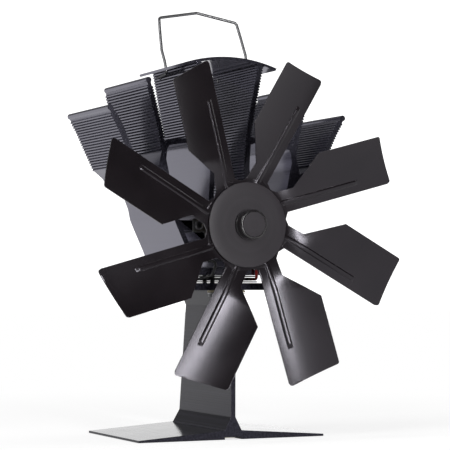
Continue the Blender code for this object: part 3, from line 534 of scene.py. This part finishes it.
def wear_and_sheen_colour(tree, shader, under, amount, radius):
    """Let the metal underneath show along the edges; on the blades this also paints a highlight
    there.
    """
    wear = place_group(tree, edge_wear_and_sheen, Radius=radius)
    mask = calculate(tree, "MULTIPLY", wear.outputs["Mask"], amount)
    before = shader.inputs["Base Color"].links[0].from_socket
    mix = tree.nodes.new("ShaderNodeMix")
    mix.data_type = "RGBA"
    mix.inputs["B"].default_value = (*under, 1.0)
    tree.links.new(before, mix.inputs["A"])
    tree.links.new(mask, mix.inputs["Factor"])
    tree.links.new(mix.outputs["Result"], shader.inputs["Base Color"])


def vary_roughness(tree, shader, mask, low, high):
    tree.links.new(remap(tree, mask, 0.0, 1.0, low, high), shader.inputs["Roughness"])


def add_bump(tree, shader, height, strength, depth):
    """Lay a bump over the bumps that the shader already has."""
    bump = tree.nodes.new("ShaderNodeBump")
    bump.inputs["Strength"].default_value = strength
    bump.inputs["Distance"].default_value = depth
    tree.links.new(height, bump.inputs["Height"])
    before = shader.inputs["Normal"].links
    if before:
        tree.links.new(before[0].from_socket, bump.inputs["Normal"])
    tree.links.new(bump.outputs["Normal"], shader.inputs["Normal"])


def extruded_black(name, gloss, index, line_depth, wear):
    """Black anodising over an extrusion: lines along its length, worn a little at the edges."""
    material, tree, shader = new_material(name, (0.012, 0.012, 0.014), gloss)
    shader.inputs["IOR"].default_value = index
    shader.inputs["Specular Tint"].default_value = (0.82, 0.80, 1.0, 1.0)
    lines = place_group(tree, drawn_lines, Stretch=(1100.0, 6.0, 1100.0))
    grain = place_group(tree, micro_grain, Size=0.22 * mm)
    vary_colour(tree, shader, (0.007, 0.007, 0.010), (0.024, 0.023, 0.032),
                lines.outputs["Streaks"])
    wear_and_sheen_colour(tree, shader, (0.40, 0.40, 0.42), amount=wear, radius=0.30 * mm)
    cavity = place_group(tree, hollows, Width=1.5 * mm)
    dull = calculate(tree, "MULTIPLY", cavity.outputs["Mask"], hollow_dullness)
    clean = remap(tree, grain.outputs["Clouds"], 0.0, 1.0, gloss * 0.9, gloss * 1.1)
    tree.links.new(calculate(tree, "ADD", clean, dull, clamp=True), shader.inputs["Roughness"])
    add_bump(tree, shader, lines.outputs["Streaks"], strength=0.3, depth=line_depth)
    add_bump(tree, shader, lines.outputs["Height"], strength=0.3, depth=line_depth)
    add_bump(tree, shader, grain.outputs["Height"], strength=0.10, depth=0.01 * mm)
    return material


def satin_black():
    """Satin black coating on thin rolled sheet."""
    material, tree, shader = new_material("satin black blades", (0.008, 0.006, 0.007), 0.22,
                                          specular=0.42)
    shader.inputs["Specular Tint"].default_value = (0.93, 0.90, 1.0, 1.0)
    grain = place_group(tree, micro_grain, Size=0.30 * mm)
    vary_colour(tree, shader, (0.006, 0.0045, 0.0055), (0.010, 0.0075, 0.009),
                grain.outputs["Clouds"])
    # Lighter blade edges: partly wear, partly a painted highlight along the edges
    wear_and_sheen_colour(tree, shader, (0.32, 0.30, 0.33), amount=0.50, radius=0.25 * mm)
    vary_roughness(tree, shader, grain.outputs["Clouds"], 0.20, 0.25)
    add_bump(tree, shader, grain.outputs["Height"], strength=0.22, depth=0.02 * mm)
    return material


def charcoal_disc():
    """Charcoal coating over a turned disc, with faint rings."""
    material, tree, shader = new_material("charcoal disc", (0.026, 0.023, 0.026), 0.44,
                                          specular=0.3)
    rings = place_group(tree, turning_rings, Pitch=0.30 * mm)
    grain = place_group(tree, micro_grain, Size=0.25 * mm)
    vary_colour(tree, shader, (0.024, 0.021, 0.025), (0.028, 0.024, 0.029),
                rings.outputs["Rings"])
    wear_and_sheen_colour(tree, shader, (0.20, 0.19, 0.20), amount=0.35, radius=0.30 * mm)
    vary_roughness(tree, shader, grain.outputs["Clouds"], 0.38, 0.50)
    add_bump(tree, shader, rings.outputs["Height"], strength=0.30, depth=0.02 * mm)
    add_bump(tree, shader, grain.outputs["Height"], strength=0.15, depth=0.02 * mm)
    return material


def glossy_cap():
    """Glossier black on the turned cap."""
    material, tree, shader = new_material("turned black cap", (0.012, 0.011, 0.012), 0.24,
                                          specular=0.6)
    rings = place_group(tree, turning_rings, Pitch=0.22 * mm)
    vary_colour(tree, shader, (0.009, 0.008, 0.009), (0.016, 0.014, 0.016),
                rings.outputs["Rings"])
    wear_and_sheen_colour(tree, shader, (0.22, 0.21, 0.22), amount=0.40, radius=0.25 * mm)
    vary_roughness(tree, shader, rings.outputs["Rings"], 0.18, 0.30)
    add_bump(tree, shader, rings.outputs["Height"], strength=0.25, depth=0.02 * mm)
    return material


def metal(name, dull, bright, low, high, stretch=None, pitch=None, size=0.2 * mm):
    """Bare metal with drawing lines or turning rings, and stains that change its gloss.

    Its colour goes from dull to bright and its roughness from low to high.
    """
    material, tree, shader = new_material(name, bright, high, metallic=1.0)
    grain = place_group(tree, micro_grain, Size=size)
    vary_colour(tree, shader, dull, bright, grain.outputs["Clouds"])
    vary_roughness(tree, shader, grain.outputs["Clouds"], low, high)
    if stretch:
        lines = place_group(tree, drawn_lines, Stretch=stretch)
        add_bump(tree, shader, lines.outputs["Height"], strength=0.35, depth=0.03 * mm)
    if pitch:
        rings = place_group(tree, turning_rings, Pitch=pitch)
        add_bump(tree, shader, rings.outputs["Height"], strength=0.30, depth=0.02 * mm)
    add_bump(tree, shader, grain.outputs["Height"], strength=0.12, depth=0.02 * mm)
    return material


def wire_metal():
    """Plated wire whose reflection stays dim towards its sides."""
    material = metal("bright wire", (0.26, 0.26, 0.27), (0.38, 0.38, 0.39), 0.36, 0.42,
                     size=2.0 * mm)
    shader = material.node_tree.nodes["Principled BSDF"]
    shader.inputs["Specular Tint"].default_value = (0.08, 0.08, 0.08, 1.0)
    return material


def moulded(name, first, second, low, high, bump=0.25):
    """Moulded, pressed or fired material: fine grain and uneven gloss."""
    material, tree, shader = new_material(name, first, high)
    grain = place_group(tree, micro_grain, Size=0.3 * mm)
    vary_colour(tree, shader, first, second, grain.outputs["Clouds"])
    vary_roughness(tree, shader, grain.outputs["Clouds"], low, high)
    add_bump(tree, shader, grain.outputs["Height"], strength=bump, depth=0.04 * mm)
    return material


def moved_place(tree, **values):
    """Object coordinates, moved or scaled by a mapping node."""
    place = tree.nodes.new("ShaderNodeMapping")
    for label, value in values.items():
        place.inputs[label].default_value = value
    tree.links.new(object_place(tree), place.inputs["Vector"])
    return place.outputs["Vector"]


def module_legs():
    """Rows of small dark and light legs behind a clear seal."""
    material, tree, shader = new_material("module legs", (0.20, 0.20, 0.21), 0.45,
                                          metallic=0.1)
    checker = tree.nodes.new("ShaderNodeTexChecker")
    checker.inputs["Scale"].default_value = 1 / (1.4 * mm)
    place = moved_place(tree, Scale=(1.0, 1.0, 0.0), Location=(0.0, 0.0, 0.3 * mm))
    tree.links.new(place, checker.inputs["Vector"])
    vary_colour(tree, shader, (0.09, 0.09, 0.10), (0.34, 0.33, 0.32), checker.outputs["Fac"])
    grain = place_group(tree, micro_grain, Size=0.3 * mm)
    vary_roughness(tree, shader, grain.outputs["Clouds"], 0.35, 0.55)
    add_bump(tree, shader, checker.outputs["Fac"], strength=0.5, depth=0.2 * mm)
    return material


def wound_copper():
    """Enamelled wire laid turn by turn."""
    material, tree, shader = new_material("enamelled copper", (0.50, 0.20, 0.08), 0.30,
                                          metallic=0.9)
    bands = tree.nodes.new("ShaderNodeTexWave")
    bands.wave_type = "RINGS"
    bands.rings_direction = "SPHERICAL"
    bands.inputs["Scale"].default_value = 1 / (0.9 * mm)
    place = moved_place(tree, Location=tuple(-middle("armature_core")))
    tree.links.new(place, bands.inputs["Vector"])
    vary_colour(tree, shader, (0.30, 0.10, 0.04), (0.62, 0.27, 0.11), bands.outputs["Fac"])
    grain = place_group(tree, micro_grain, Size=0.2 * mm)
    vary_roughness(tree, shader, grain.outputs["Clouds"], 0.24, 0.40)
    add_bump(tree, shader, bands.outputs["Fac"], strength=0.6, depth=0.1 * mm)
    return material


ribbed_black = extruded_black("black anodised heat sink", gloss=0.14, index=2.5,
                              line_depth=0.02 * mm, wear=0.06)
stand_black = extruded_black("black anodised stand", gloss=0.11, index=1.345,
                             line_depth=0.035 * mm, wear=0.40)
black_blades = satin_black()
charcoal = charcoal_disc()
black_cap = glossy_cap()
bright_wire = wire_metal()
shaft_steel = metal("ground steel", (0.48, 0.48, 0.49), (0.60, 0.60, 0.61), 0.20, 0.32,
                    pitch=0.15 * mm)
zinc_sheet = metal("zinc coated sheet", (0.34, 0.34, 0.35), (0.50, 0.50, 0.51), 0.30, 0.46,
                   pitch=0.40 * mm)
screw_steel = metal("dark screws", (0.10, 0.10, 0.105), (0.20, 0.20, 0.21), 0.32, 0.48)
plain_steel = metal("plain steel", (0.40, 0.40, 0.41), (0.56, 0.56, 0.57), 0.28, 0.42)
turned_brass = metal("turned brass", (0.46, 0.31, 0.11), (0.62, 0.44, 0.18), 0.24, 0.38,
                     pitch=0.16 * mm)
sintered = metal("sintered bronze", (0.28, 0.17, 0.08), (0.42, 0.27, 0.14), 0.40, 0.56,
                 size=0.12 * mm)
bimetal = metal("two metal strip", (0.38, 0.34, 0.28), (0.52, 0.48, 0.41), 0.30, 0.46,
                stretch=(600.0, 20.0, 600.0))
copper_wire = wound_copper()
# White ceramic coloured grey: its colour holds painted shade
ceramic_in_painted_shade = moulded("white ceramic", (0.36, 0.355, 0.34), (0.45, 0.445, 0.43), 0.40, 0.55)
core_grey = module_legs()
cap_white = moulded("white nylon", (0.66, 0.65, 0.60), (0.74, 0.73, 0.69), 0.36, 0.50)
bush_tan = moulded("bush plastic", (0.56, 0.49, 0.34), (0.64, 0.58, 0.43), 0.38, 0.54)
brush_carbon = moulded("carbon", (0.022, 0.022, 0.023), (0.040, 0.040, 0.042), 0.50, 0.70)
magnet_black = moulded("ferrite", (0.035, 0.035, 0.037), (0.06, 0.06, 0.062), 0.50, 0.66)
red_cover = moulded("red lead cover", (0.40, 0.012, 0.010), (0.50, 0.022, 0.018), 0.34, 0.50,
                    bump=0.15)
black_cover = moulded("black lead cover", (0.012, 0.012, 0.013), (0.024, 0.024, 0.026),
                      0.34, 0.50, bump=0.15)


# Rotor

def blade_y(along, across):
    """Front of the sheet: along runs out from the axis, across from the blade's straight edge."""
    span = max(0.0, min(1.0, (along - twist_start) / (twist_end - twist_start)))
    twist = span * span * (3 - 2 * span)
    share = across / blade_width
    out = max(0.0, along - twist_start) / (rotor_radius - twist_start)
    bow = 4 * share * (1 - share) * blade_camber
    return sheet_front - blade_lean * out - twist * (math.tan(blade_pitch) * across - bow)


def press_height(along, across):
    """Rounded rib, pressed up from behind, with a round end."""
    past = max(0.0, along - press_end_radius)
    aside = abs(across - press_offset)
    reach = math.sqrt(aside * aside + past * past) / (press_width / 2)
    if reach >= 1.0:
        return 0.0
    return rib_press * (1 - reach ** press_fullness) ** press_flank


def tip_run(across):
    """How far out the tip's edge lies, with its corners rounded."""
    run = rotor_radius - blade_tip_slant * across / blade_width
    for edge, corner in ((across, blade_tip_corner), (blade_width - across, blade_far_corner)):
        if edge < corner:
            run -= corner - math.sqrt(corner ** 2 - (corner - edge) ** 2)
    return run


def root_run(across):
    """Where the neck begins, on a slanted line at the flat middle."""
    return neck_root_high + (neck_root_low - neck_root_high) * across / neck_width


def shoulder_run(across):
    """Where the wide part begins: straight over the neck, then out along the shoulder."""
    slope = max(0.0, (across - neck_width) / (blade_width - neck_width))
    return neck_end_radius + (blade_shoulder_radius - neck_end_radius) * slope


def neck_column(share):
    """Place across the neck; more than half of the columns lie on the rib."""
    low, high = press_offset - neck_fine_half, press_offset + neck_fine_half
    if share < neck_side_share:
        return low * share / neck_side_share
    if share > 1 - neck_side_share:
        return high + (neck_width - high) * (share - 1 + neck_side_share) / neck_side_share
    return low + (high - low) * (share - neck_side_share) / (1 - 2 * neck_side_share)


def far_column(share):
    """Place across the wide part; the columns lie closer together at the far edge."""
    return neck_width + (blade_width - neck_width) * (1 - (1 - share) ** far_column_ease)


def blade_patch(bm, columns, rows, across_at, inner_at, outer_at):
    """A grid laid over part of a blade, between an inner and an outer line."""
    made = bmesh.ops.create_grid(bm, x_segments=columns, y_segments=rows, size=0.5)["verts"]
    for vert in made:
        across = across_at(vert.co.x + 0.5)
        inner, outer = inner_at(across), outer_at(across)
        along = inner + (outer - inner) * (vert.co.y + 0.5)
        side = blade_edge_offset + across
        vert.co = (along, blade_y(along, across) - press_height(along, across), side)
    return made


def blade_wheel():
    """One blade from three grids, spun eight times about the axis, joined by the flat middle."""
    bm = bmesh.new()
    root_mark = bm.verts.layers.int.new("root")
    neck = blade_patch(bm, neck_columns, neck_rows, neck_column, root_run, shoulder_run)
    blade_patch(bm, neck_columns, blade_rows, neck_column, shoulder_run, tip_run)
    blade_patch(bm, far_columns, blade_rows, far_column, shoulder_run, tip_run)
    roots = []
    for vert in neck:
        if abs(vert.co.x - root_run(vert.co.z - blade_edge_offset)) < spin_weld:
            vert[root_mark] = 1
            roots.append(vert)
    roots.sort(key=lambda vert: vert.co.z)
    step = 2 * math.pi / blade_count
    bottom = bm.verts.new((notch_radius * math.cos(notch_angle), sheet_front,
                           -notch_radius * math.sin(notch_angle)))
    after = bm.verts.new(Matrix.Rotation(step, 3, "Y") @ roots[-1].co)
    for vert in (bottom, after):
        vert[root_mark] = 1
    bm.edges.new((roots[0], bottom))
    bm.edges.new((bottom, after))
    turn(bm, bm.verts, -rotor_start_angle, "Y")
    bmesh.ops.spin(bm, geom=list(bm.verts) + list(bm.edges) + list(bm.faces), cent=(0, 0, 0),
                   axis=(0, 1, 0), angle=2 * math.pi - step, steps=blade_count - 1,
                   use_duplicate=True)
    bmesh.ops.remove_doubles(bm, verts=bm.verts, dist=mesh_weld)
    rim = [edge for edge in bm.edges
           if all(vert[root_mark] for vert in edge.verts) and len(edge.link_faces) < 2]
    bore_place = (Matrix.Translation((0, sheet_front, 0))
                  @ Matrix.Rotation(math.pi / 2, 4, "X"))
    bore = bmesh.ops.create_circle(bm, segments=bore_steps, radius=sheet_bore,
                                   matrix=bore_place)
    ring = {edge for vert in bore["verts"] for edge in vert.link_edges}
    bmesh.ops.triangle_fill(bm, use_beauty=True, edges=rim + list(ring), normal=(0, -1, 0))
    bmesh.ops.recalc_face_normals(bm, faces=bm.faces)
    raised = bmesh.ops.extrude_face_region(bm, geom=list(bm.faces))
    moved = [item for item in raised["geom"] if isinstance(item, bmesh.types.BMVert)]
    bmesh.ops.translate(bm, verts=moved, vec=(0, sheet_thick, 0))
    bmesh.ops.recalc_face_normals(bm, faces=bm.faces)
    bmesh.ops.translate(bm, verts=bm.verts, vec=(rotor_axis.x, 0, rotor_axis.z))
    piece = soften(new_mesh_object("blade_wheel_sheet", bm), sheet_edge, blade_edge_angle)
    dress(piece, black_blades, "rotor", ["blade_wheel"])


def hub_disc():
    """Pressed disc whose rim falls away in a soft curve."""
    radius = (disc_high.x - disc_low.x) / 2
    flat = radius * disc_flat_share
    curve = radius - disc_curve_inset - flat
    front, back = disc_low.y, disc_high.y
    outline = [(sheet_bore, front), (flat / 2, front), (flat, front)]
    for index in range(1, disc_curve_steps + 1):
        share = index / disc_curve_steps
        outline.append((flat + curve * share, front + disc_drop * share * share))
    rim_front = front + disc_drop
    outline += [(radius - disc_rim_inset, rim_front + disc_edge),
                (radius, rim_front + disc_rim_run), (radius, back - disc_edge),
                (radius - disc_edge, back), (sheet_bore, back)]
    piece = turned("hub_disc_plate", outline, rotor_axis, "Y", disc_steps, disc_sharp_angle)
    dress(piece, charcoal, "rotor", ["hub_disc"])


def hub_knob():
    """Turned cap: a flat dull face inside a thin line, then a rounded glossy rim."""
    low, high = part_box("hub_knob")
    radius = (high.x - low.x) / 2
    front, back = low.y, high.y
    line_in = radius - cap_edge - cap_line_inset
    face_radius = line_in - cap_line_slope
    groove = back - cap_groove_run
    spigot_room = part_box("hub_boss")[0].y - clearance
    outline = [(0, front + cap_face_sink), (face_radius, front + cap_face_sink),
               (line_in, front + cap_line_depth)]
    outline += rounding(radius - cap_edge, front + cap_edge, cap_edge, cap_edge,
                        cap_edge_steps)
    outline += [(radius, groove - cap_groove), (radius - cap_groove, groove),
                (radius, groove + cap_groove), (radius, back - cap_back_edge),
                (radius - cap_back_edge, back), (sheet_bore, back),
                (sheet_bore, spigot_room), (0, spigot_room)]
    piece = turned("hub_cap", outline, rotor_axis, "Y", cap_steps, cap_sharp_angle)
    dress(piece, black_cap, "rotor", ["hub_knob"])
    piece.data.materials.append(charcoal)
    for face in piece.data.polygons:
        off = face.center - rotor_axis
        if face.center.y < front + cap_edge and math.hypot(off.x, off.z) < face_radius:
            face.material_index = 1


def motor_shaft():
    low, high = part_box("motor_shaft")
    radius = (high.x - low.x) / 2
    outline = [(0, low.y), (radius - shaft_edge, low.y), (radius, low.y + shaft_edge),
               (radius, high.y - shaft_edge), (radius - shaft_edge, high.y), (0, high.y)]
    piece = turned("motor_shaft_ground", outline, rotor_axis, "Y", shaft_steps)
    dress(piece, shaft_steel, "rotor", ["motor_shaft"])


# Wire

def rounded_route(points, radius):
    """Straight runs with a bend of this radius at each corner."""
    guide = [Vector(point) for point in points]
    route = [guide[0]]
    for before, corner, after in zip(guide, guide[1:], guide[2:]):
        into = (before - corner).normalized()
        out = (after - corner).normalized()
        bend = math.pi - into.angle(out)
        if bend < least_bend:
            route.append(corner)
            continue
        room = bend_room_share * min((before - corner).length, (after - corner).length)
        reach = min(radius * math.tan(bend / 2), room)
        first, last = corner + into * reach, corner + out * reach
        for index in range(bend_steps + 1):
            t = index / bend_steps
            route.append(first * (1 - t) ** 2 + corner * 2 * t * (1 - t) + last * t * t)
    route.append(guide[-1])
    return route


def handle_wire():
    """Both halves of the wire as one route: hook, foot, bowed leg, top corner and low peak."""
    low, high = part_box("handle")
    hook_z = low.z + wire_radius
    hook_y = high.y - wire_radius
    foot_z = high.z - wire_radius - handle_apex_rise - handle_height
    inner = min(abs(vert.co.x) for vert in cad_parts["handle"].data.vertices
                if vert.co.z < low.z + 2 * wire_radius)
    rise, back = math.cos(handle_lean), math.sin(handle_lean)
    leg = handle_height / rise

    def leaned(x, run):
        return (x, handle_slot_back + run * back, foot_z + run * rise)

    bow = handle_foot_half + handle_bow
    half = [(inner, hook_y, hook_z),
            (inner + 2 * arm_half + handle_bend, hook_y, hook_z),
            leaned(handle_foot_half, (hook_z - foot_z) / rise),
            leaned(handle_foot_half, straight_foot_share * leg),
            leaned(bow, bow_start_share * leg),
            leaned((bow + handle_top_half) / 2, bow_end_share * leg),
            leaned(handle_top_half, leg)]
    apex = leaned(0, leg + handle_apex_rise / rise)
    points = [(-x, y, z) for x, y, z in half] + [apex] + list(reversed(half))
    curve = bpy.data.curves.new("handle_wire", "CURVE")
    curve.dimensions = "3D"
    curve.bevel_depth = wire_radius
    curve.bevel_resolution = 6
    curve.use_fill_caps = True
    route = rounded_route(points, handle_bend)
    line = curve.splines.new("POLY")
    line.points.add(len(route) - 1)
    for point, place in zip(line.points, route):
        point.co = (*place, 1.0)
    wire = bpy.data.objects.new("handle_wire", curve)
    bpy.context.collection.objects.link(wire)
    dress(wire, bright_wire, "fan_body", ["handle"])


# Screws, bushes, washers, rivets and tags

def screw_outline(radius, head, shank, tip, threaded):
    """From the crown of a domed head to the end of the shank, as (radius, run) points."""
    dome = head * head_dome_share
    outline = rounding(0, dome, radius, dome, head_dome_steps)
    outline += [(radius, head - head_edge), (radius - head_edge, head), (shank, head)]
    if threaded:
        run = head + thread_pitch
        while run < tip - 2 * thread_pitch:
            outline += [(shank, run), (shank - thread_depth, run + thread_pitch / 2)]
            run += thread_pitch
    outline += [(shank, tip - shank_tip_edge), (shank - shank_tip_edge, tip), (0, tip)]
    return outline


def cross_recess(place, axis):
    """Two crossed bars that narrow towards the bottom of the recess."""
    bm = bmesh.new()
    for angle in (0, math.pi / 2):
        bar = bmesh.ops.create_cube(bm, size=1.0)["verts"]
        for vert in bar:
            narrow = recess_narrowing if vert.co.z > 0 else 1.0
            vert.co.x *= 2 * recess_reach * narrow
            vert.co.y *= recess_width * narrow
            vert.co.z *= 2 * recess_depth
        turn(bm, bar, angle, "Z")
    if axis == "Y":
        turn(bm, bm.verts, -math.pi / 2, "X")
    turn(bm, bm.verts, recess_turn, axis)
    bmesh.ops.translate(bm, verts=bm.verts, vec=place)
    return bm


def cross_head_screw(node, axis, head, shank, threaded=False):
    low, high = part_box(node)
    centre = middle(node)
    start, end = (low.y, high.y) if axis == "Y" else (low.z, high.z)
    radius = (high.x - low.x) / 2
    outline = [(r, start + run)
               for r, run in screw_outline(radius, head, shank, end - start, threaded)]
    screw = turned(node + "_turned", outline, centre, axis)
    top = (centre.x, start, centre.z) if axis == "Y" else (centre.x, centre.y, start)
    carve(screw, cross_recess(Vector(top), axis))
    dress(screw, screw_steel, "fan_body", [node])


def insulating_bush(node):
    low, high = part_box(node)
    collar = (high.x - low.x) / 2
    bore = clamp_shank_radius + clearance
    sleeve = bore + bush_wall
    step = low.z + bush_collar_thick
    outline = [(bore, low.z), (collar - bush_collar_edge, low.z),
               (collar, low.z + bush_collar_edge), (collar, step), (sleeve, step),
               (sleeve, high.z - bush_sleeve_edge), (sleeve - bush_sleeve_edge, high.z),
               (bore, high.z)]
    bush = turned(node + "_turned", outline, middle(node), "Z")
    dress(bush, bush_tan, "fan_body", [node])


def spring_washer(node):
    low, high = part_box(node)
    outer = (high.x - low.x) / 2
    bore = clamp_shank_radius + clearance
    edge = washer_edge
    outline = [(bore, low.z + edge), (bore + edge, low.z), (outer - edge, low.z),
               (outer, low.z + edge), (outer, high.z - edge), (outer - edge, high.z),
               (bore + edge, high.z), (bore, high.z - edge)]
    washer = turned(node + "_split", outline, middle(node), "Z")
    slot = bmesh.new()
    bmesh.ops.create_cube(slot, size=1.0)
    bmesh.ops.scale(slot, verts=slot.verts, vec=(outer, washer_split, outer))
    turn(slot, slot.verts, washer_split_lean, "X")
    bmesh.ops.translate(slot, verts=slot.verts, vec=middle(node) + Vector((outer, 0, 0)))
    carve(washer, slot)
    dress(washer, plain_steel, "fan_body", [node])


def strip_rivet(node):
    low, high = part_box(node)
    radius = (high.x - low.x) / 2
    outline = rounding(0, low.z, radius, rivet_dome, rivet_dome_steps)
    outline += [(radius, high.z - rivet_edge), (radius - rivet_edge, high.z), (0, high.z)]
    rivet = turned(node + "_domed", outline, middle(node), "Z")
    dress(rivet, plain_steel, "fan_body", [node])


def motor_terminal(node):
    """Solder tag with a hole near its end."""
    low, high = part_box(node)
    centre = middle(node)
    piece = new_mesh_object(node + "_tag", merged_copy(node))
    hole = bmesh.new()
    bmesh.ops.create_cone(hole, cap_ends=True, segments=tag_hole_steps,
                          radius1=tag_hole_radius, radius2=tag_hole_radius,
                          depth=4 * (high.x - low.x))
    turn(hole, hole.verts, math.pi / 2, "Y")
    bmesh.ops.translate(hole, verts=hole.verts,
                        vec=(centre.x, high.y - tag_hole_inset, centre.z))
    carve(piece, hole)
    dress(soften(piece, fine_edge), turned_brass, "fan_body", [node])


blade_wheel()
hub_disc()
hub_knob()
motor_shaft()
handle_wire()
for number in "12":
    cross_head_screw("plate_screw_" + number, "Y", small_head_thick, screw_shank_radius)
    cross_head_screw("motor_screw_" + number, "Y", small_head_thick, screw_shank_radius)
    strip_rivet("strip_rivet_" + number)
    motor_terminal("motor_terminal_" + number)
for number in "1234":
    cross_head_screw("clamp_screw_" + number, "Z", clamp_head_thick, clamp_shank_radius, True)
    insulating_bush("insulating_bush_" + number)
    spring_washer("spring_washer_" + number)


# Pieces that keep the CAD shape, with their edges rounded

def same_shape(node, material, body, edge, angle=edge_angle):
    piece = soften(new_mesh_object(node + "_dressed", merged_copy(node)), edge, angle)
    dress(piece, material, body, [node])


same_shape("heat_sink", ribbed_black, "fan_body", cast_edge,
           sink_edge_angle)
same_shape("stand", stand_black, "fan_body", cast_edge, stand_edge_angle)
same_shape("motor_plate", zinc_sheet, "fan_body", sheet_edge)
same_shape("hub_boss", turned_brass, "rotor", fine_edge)
same_shape("bimetal_strip", bimetal, "fan_body", fine_edge)
same_shape("module_hot_plate", ceramic_in_painted_shade, "fan_body", fine_edge)
same_shape("module_cold_plate", ceramic_in_painted_shade, "fan_body", fine_edge)
same_shape("module_core", core_grey, "fan_body", fine_edge)
same_shape("motor_can", zinc_sheet, "fan_body", fine_edge)
same_shape("motor_end_cap", cap_white, "fan_body", fine_edge)
same_shape("front_bearing", sintered, "fan_body", fine_edge)
same_shape("rear_bearing", sintered, "fan_body", fine_edge)
same_shape("red_lead", red_cover, "fan_body", fine_edge, angle=lead_edge_angle)
same_shape("black_lead", black_cover, "fan_body", fine_edge, angle=lead_edge_angle)


# Pieces inside the motor and hub that stay as they are and only get a finish
kept_finishes = {
    "armature_core": plain_steel, "armature_winding_1": copper_wire,
    "armature_winding_2": copper_wire, "armature_winding_3": copper_wire,
    "commutator": turned_brass, "motor_magnet_1": magnet_black,
    "motor_magnet_2": magnet_black, "motor_brush_1": brush_carbon,
    "motor_brush_2": brush_carbon, "hub_grub_screw": screw_steel,
}
for node, material in kept_finishes.items():
    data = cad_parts[node].data
    data.materials.clear()
    data.materials.append(material)


# Floor, light and camera

def shown_white(tree, in_gloss=None):
    """One for what the camera sees, straight on or through glass; in gloss it may be dimmer."""
    path = tree.nodes.new("ShaderNodeLightPath")
    gloss = path.outputs["Is Glossy Ray"]
    if in_gloss is not None:
        gloss = calculate(tree, "MULTIPLY", gloss, in_gloss)
    seen = calculate(tree, "MAXIMUM", path.outputs["Is Camera Ray"], gloss)
    return calculate(tree, "MAXIMUM", seen, path.outputs["Is Transmission Ray"])


def along_sweep(tree, vector):
    """How far a place or a direction lies towards the white sweep behind the fan."""
    towards = vector_math(tree, "DOT_PRODUCT", vector)
    towards.inputs[1].default_value = sweep_way
    return towards.outputs["Value"]


def build_floor():
    bm = bmesh.new()
    bmesh.ops.create_grid(bm, x_segments=2, y_segments=2, size=floor_half)
    bmesh.ops.translate(bm, verts=bm.verts, vec=(0, 0, cad_low.z - floor_drop))
    floor = new_mesh_object("floor", bm)
    material, tree, shader = new_material("white floor", (0.50, 0.50, 0.50), 0.9,
                                          specular=0.0)
    away = vector_math(tree, "LENGTH", object_place(tree)).outputs["Value"]
    in_gloss = remap(tree, along_sweep(tree, object_place(tree)), floor_gloss_start,
                     floor_gloss_end, floor_gloss_near, floor_gloss_far)
    shown = shown_white(tree, in_gloss)
    shader.inputs["Emission Color"].default_value = white
    tree.links.new(calculate(tree, "MULTIPLY", shown, floor_glow),
                   shader.inputs["Emission Strength"])
    far = remap(tree, away, floor_fade_start, floor_fade_end)
    plain = tree.nodes.new("ShaderNodeEmission")
    blend = tree.nodes.new("ShaderNodeMixShader")
    tree.links.new(calculate(tree, "MULTIPLY", far, shown), blend.inputs[0])
    tree.links.new(shader.outputs[0], blend.inputs[1])
    tree.links.new(plain.outputs[0], blend.inputs[2])
    tree.links.new(blend.outputs[0], tree.nodes["Material Output"].inputs["Surface"])
    floor.data.materials.append(material)


def build_world():
    world = bpy.data.worlds.new("studio")
    bpy.context.scene.world = world
    world.use_nodes = True
    tree = world.node_tree
    back = tree.nodes["Background"]
    back.inputs["Color"].default_value = white
    direction = tree.nodes.new("ShaderNodeTexCoord").outputs["Generated"]
    parts = tree.nodes.new("ShaderNodeSeparateXYZ")
    tree.links.new(direction, parts.inputs[0])
    sweep = remap(tree, along_sweep(tree, direction), 0.0, 1.0)
    low = remap(tree, parts.outputs["Z"], sweep_low, sweep_high, 1.0, sweep_above)
    sweep_share = calculate(tree, "MULTIPLY", sweep, low)
    gloss = calculate(tree, "MULTIPLY", sweep_share, sweep_level - gloss_front)
    gloss = calculate(tree, "ADD", gloss, gloss_front)
    path = tree.nodes.new("ShaderNodeLightPath")
    gloss = calculate(tree, "MAXIMUM", gloss, path.outputs["Is Camera Ray"])
    spread = calculate(tree, "SUBTRACT", gloss, room_level)
    extra = calculate(tree, "MULTIPLY", spread, shown_white(tree))
    tree.links.new(calculate(tree, "ADD", extra, room_level), back.inputs["Strength"])


def soft_light(name, place, aim, width, height, watts):
    data = bpy.data.lights.new(name, "AREA")
    data.shape = "RECTANGLE"
    data.size = width
    data.size_y = height
    data.energy = watts
    light = bpy.data.objects.new(name, data)
    bpy.context.collection.objects.link(light)
    light.location = place
    way = Vector(aim) - Vector(place)
    light.rotation_euler = way.to_track_quat("-Z", "Y").to_euler()


def build_lights():
    fan = (0, 0, 0.12)
    soft_light("left key", (-0.95, -0.10, 1.05), fan, width=0.3, height=0.5, watts=3.5)
    soft_light("front strip", (-0.005, -0.72, 0.203), (-0.005, 0, 0.203),
               width=0.06, height=0.40, watts=3.2)
    soft_light("left front", (-0.95, -0.70, 0.60), fan, width=0.30, height=0.30, watts=3.0)
    soft_light("right fill", (1.2, 0.1, 0.8), fan, width=0.5, height=0.9, watts=3.0)
    soft_light("top", (0.0, 0.2, 1.4), fan, width=0.9, height=0.7, watts=1.2)


def build_camera():
    data = bpy.data.cameras.new("camera")
    data.sensor_width = sensor_width
    data.lens = focal_pixels / image_width * sensor_width
    data.clip_end = farthest_seen
    camera = bpy.data.objects.new("camera", data)
    bpy.context.collection.objects.link(camera)
    way = camera_way.normalized()
    right = way.cross(Vector((0, 0, 1))).normalized()
    up = right.cross(way)
    rolled_right = right * math.cos(camera_roll) + up * math.sin(camera_roll)
    rolled_up = up * math.cos(camera_roll) - right * math.sin(camera_roll)
    placed = Matrix((rolled_right, rolled_up, -way)).transposed().to_4x4()
    placed.translation = camera_place
    camera.matrix_world = placed
    bpy.context.scene.camera = camera


build_floor()
build_world()
build_lights()
build_camera()
bpy.context.scene.view_settings.view_transform = "Standard"

bpy.context.view_layer.update()
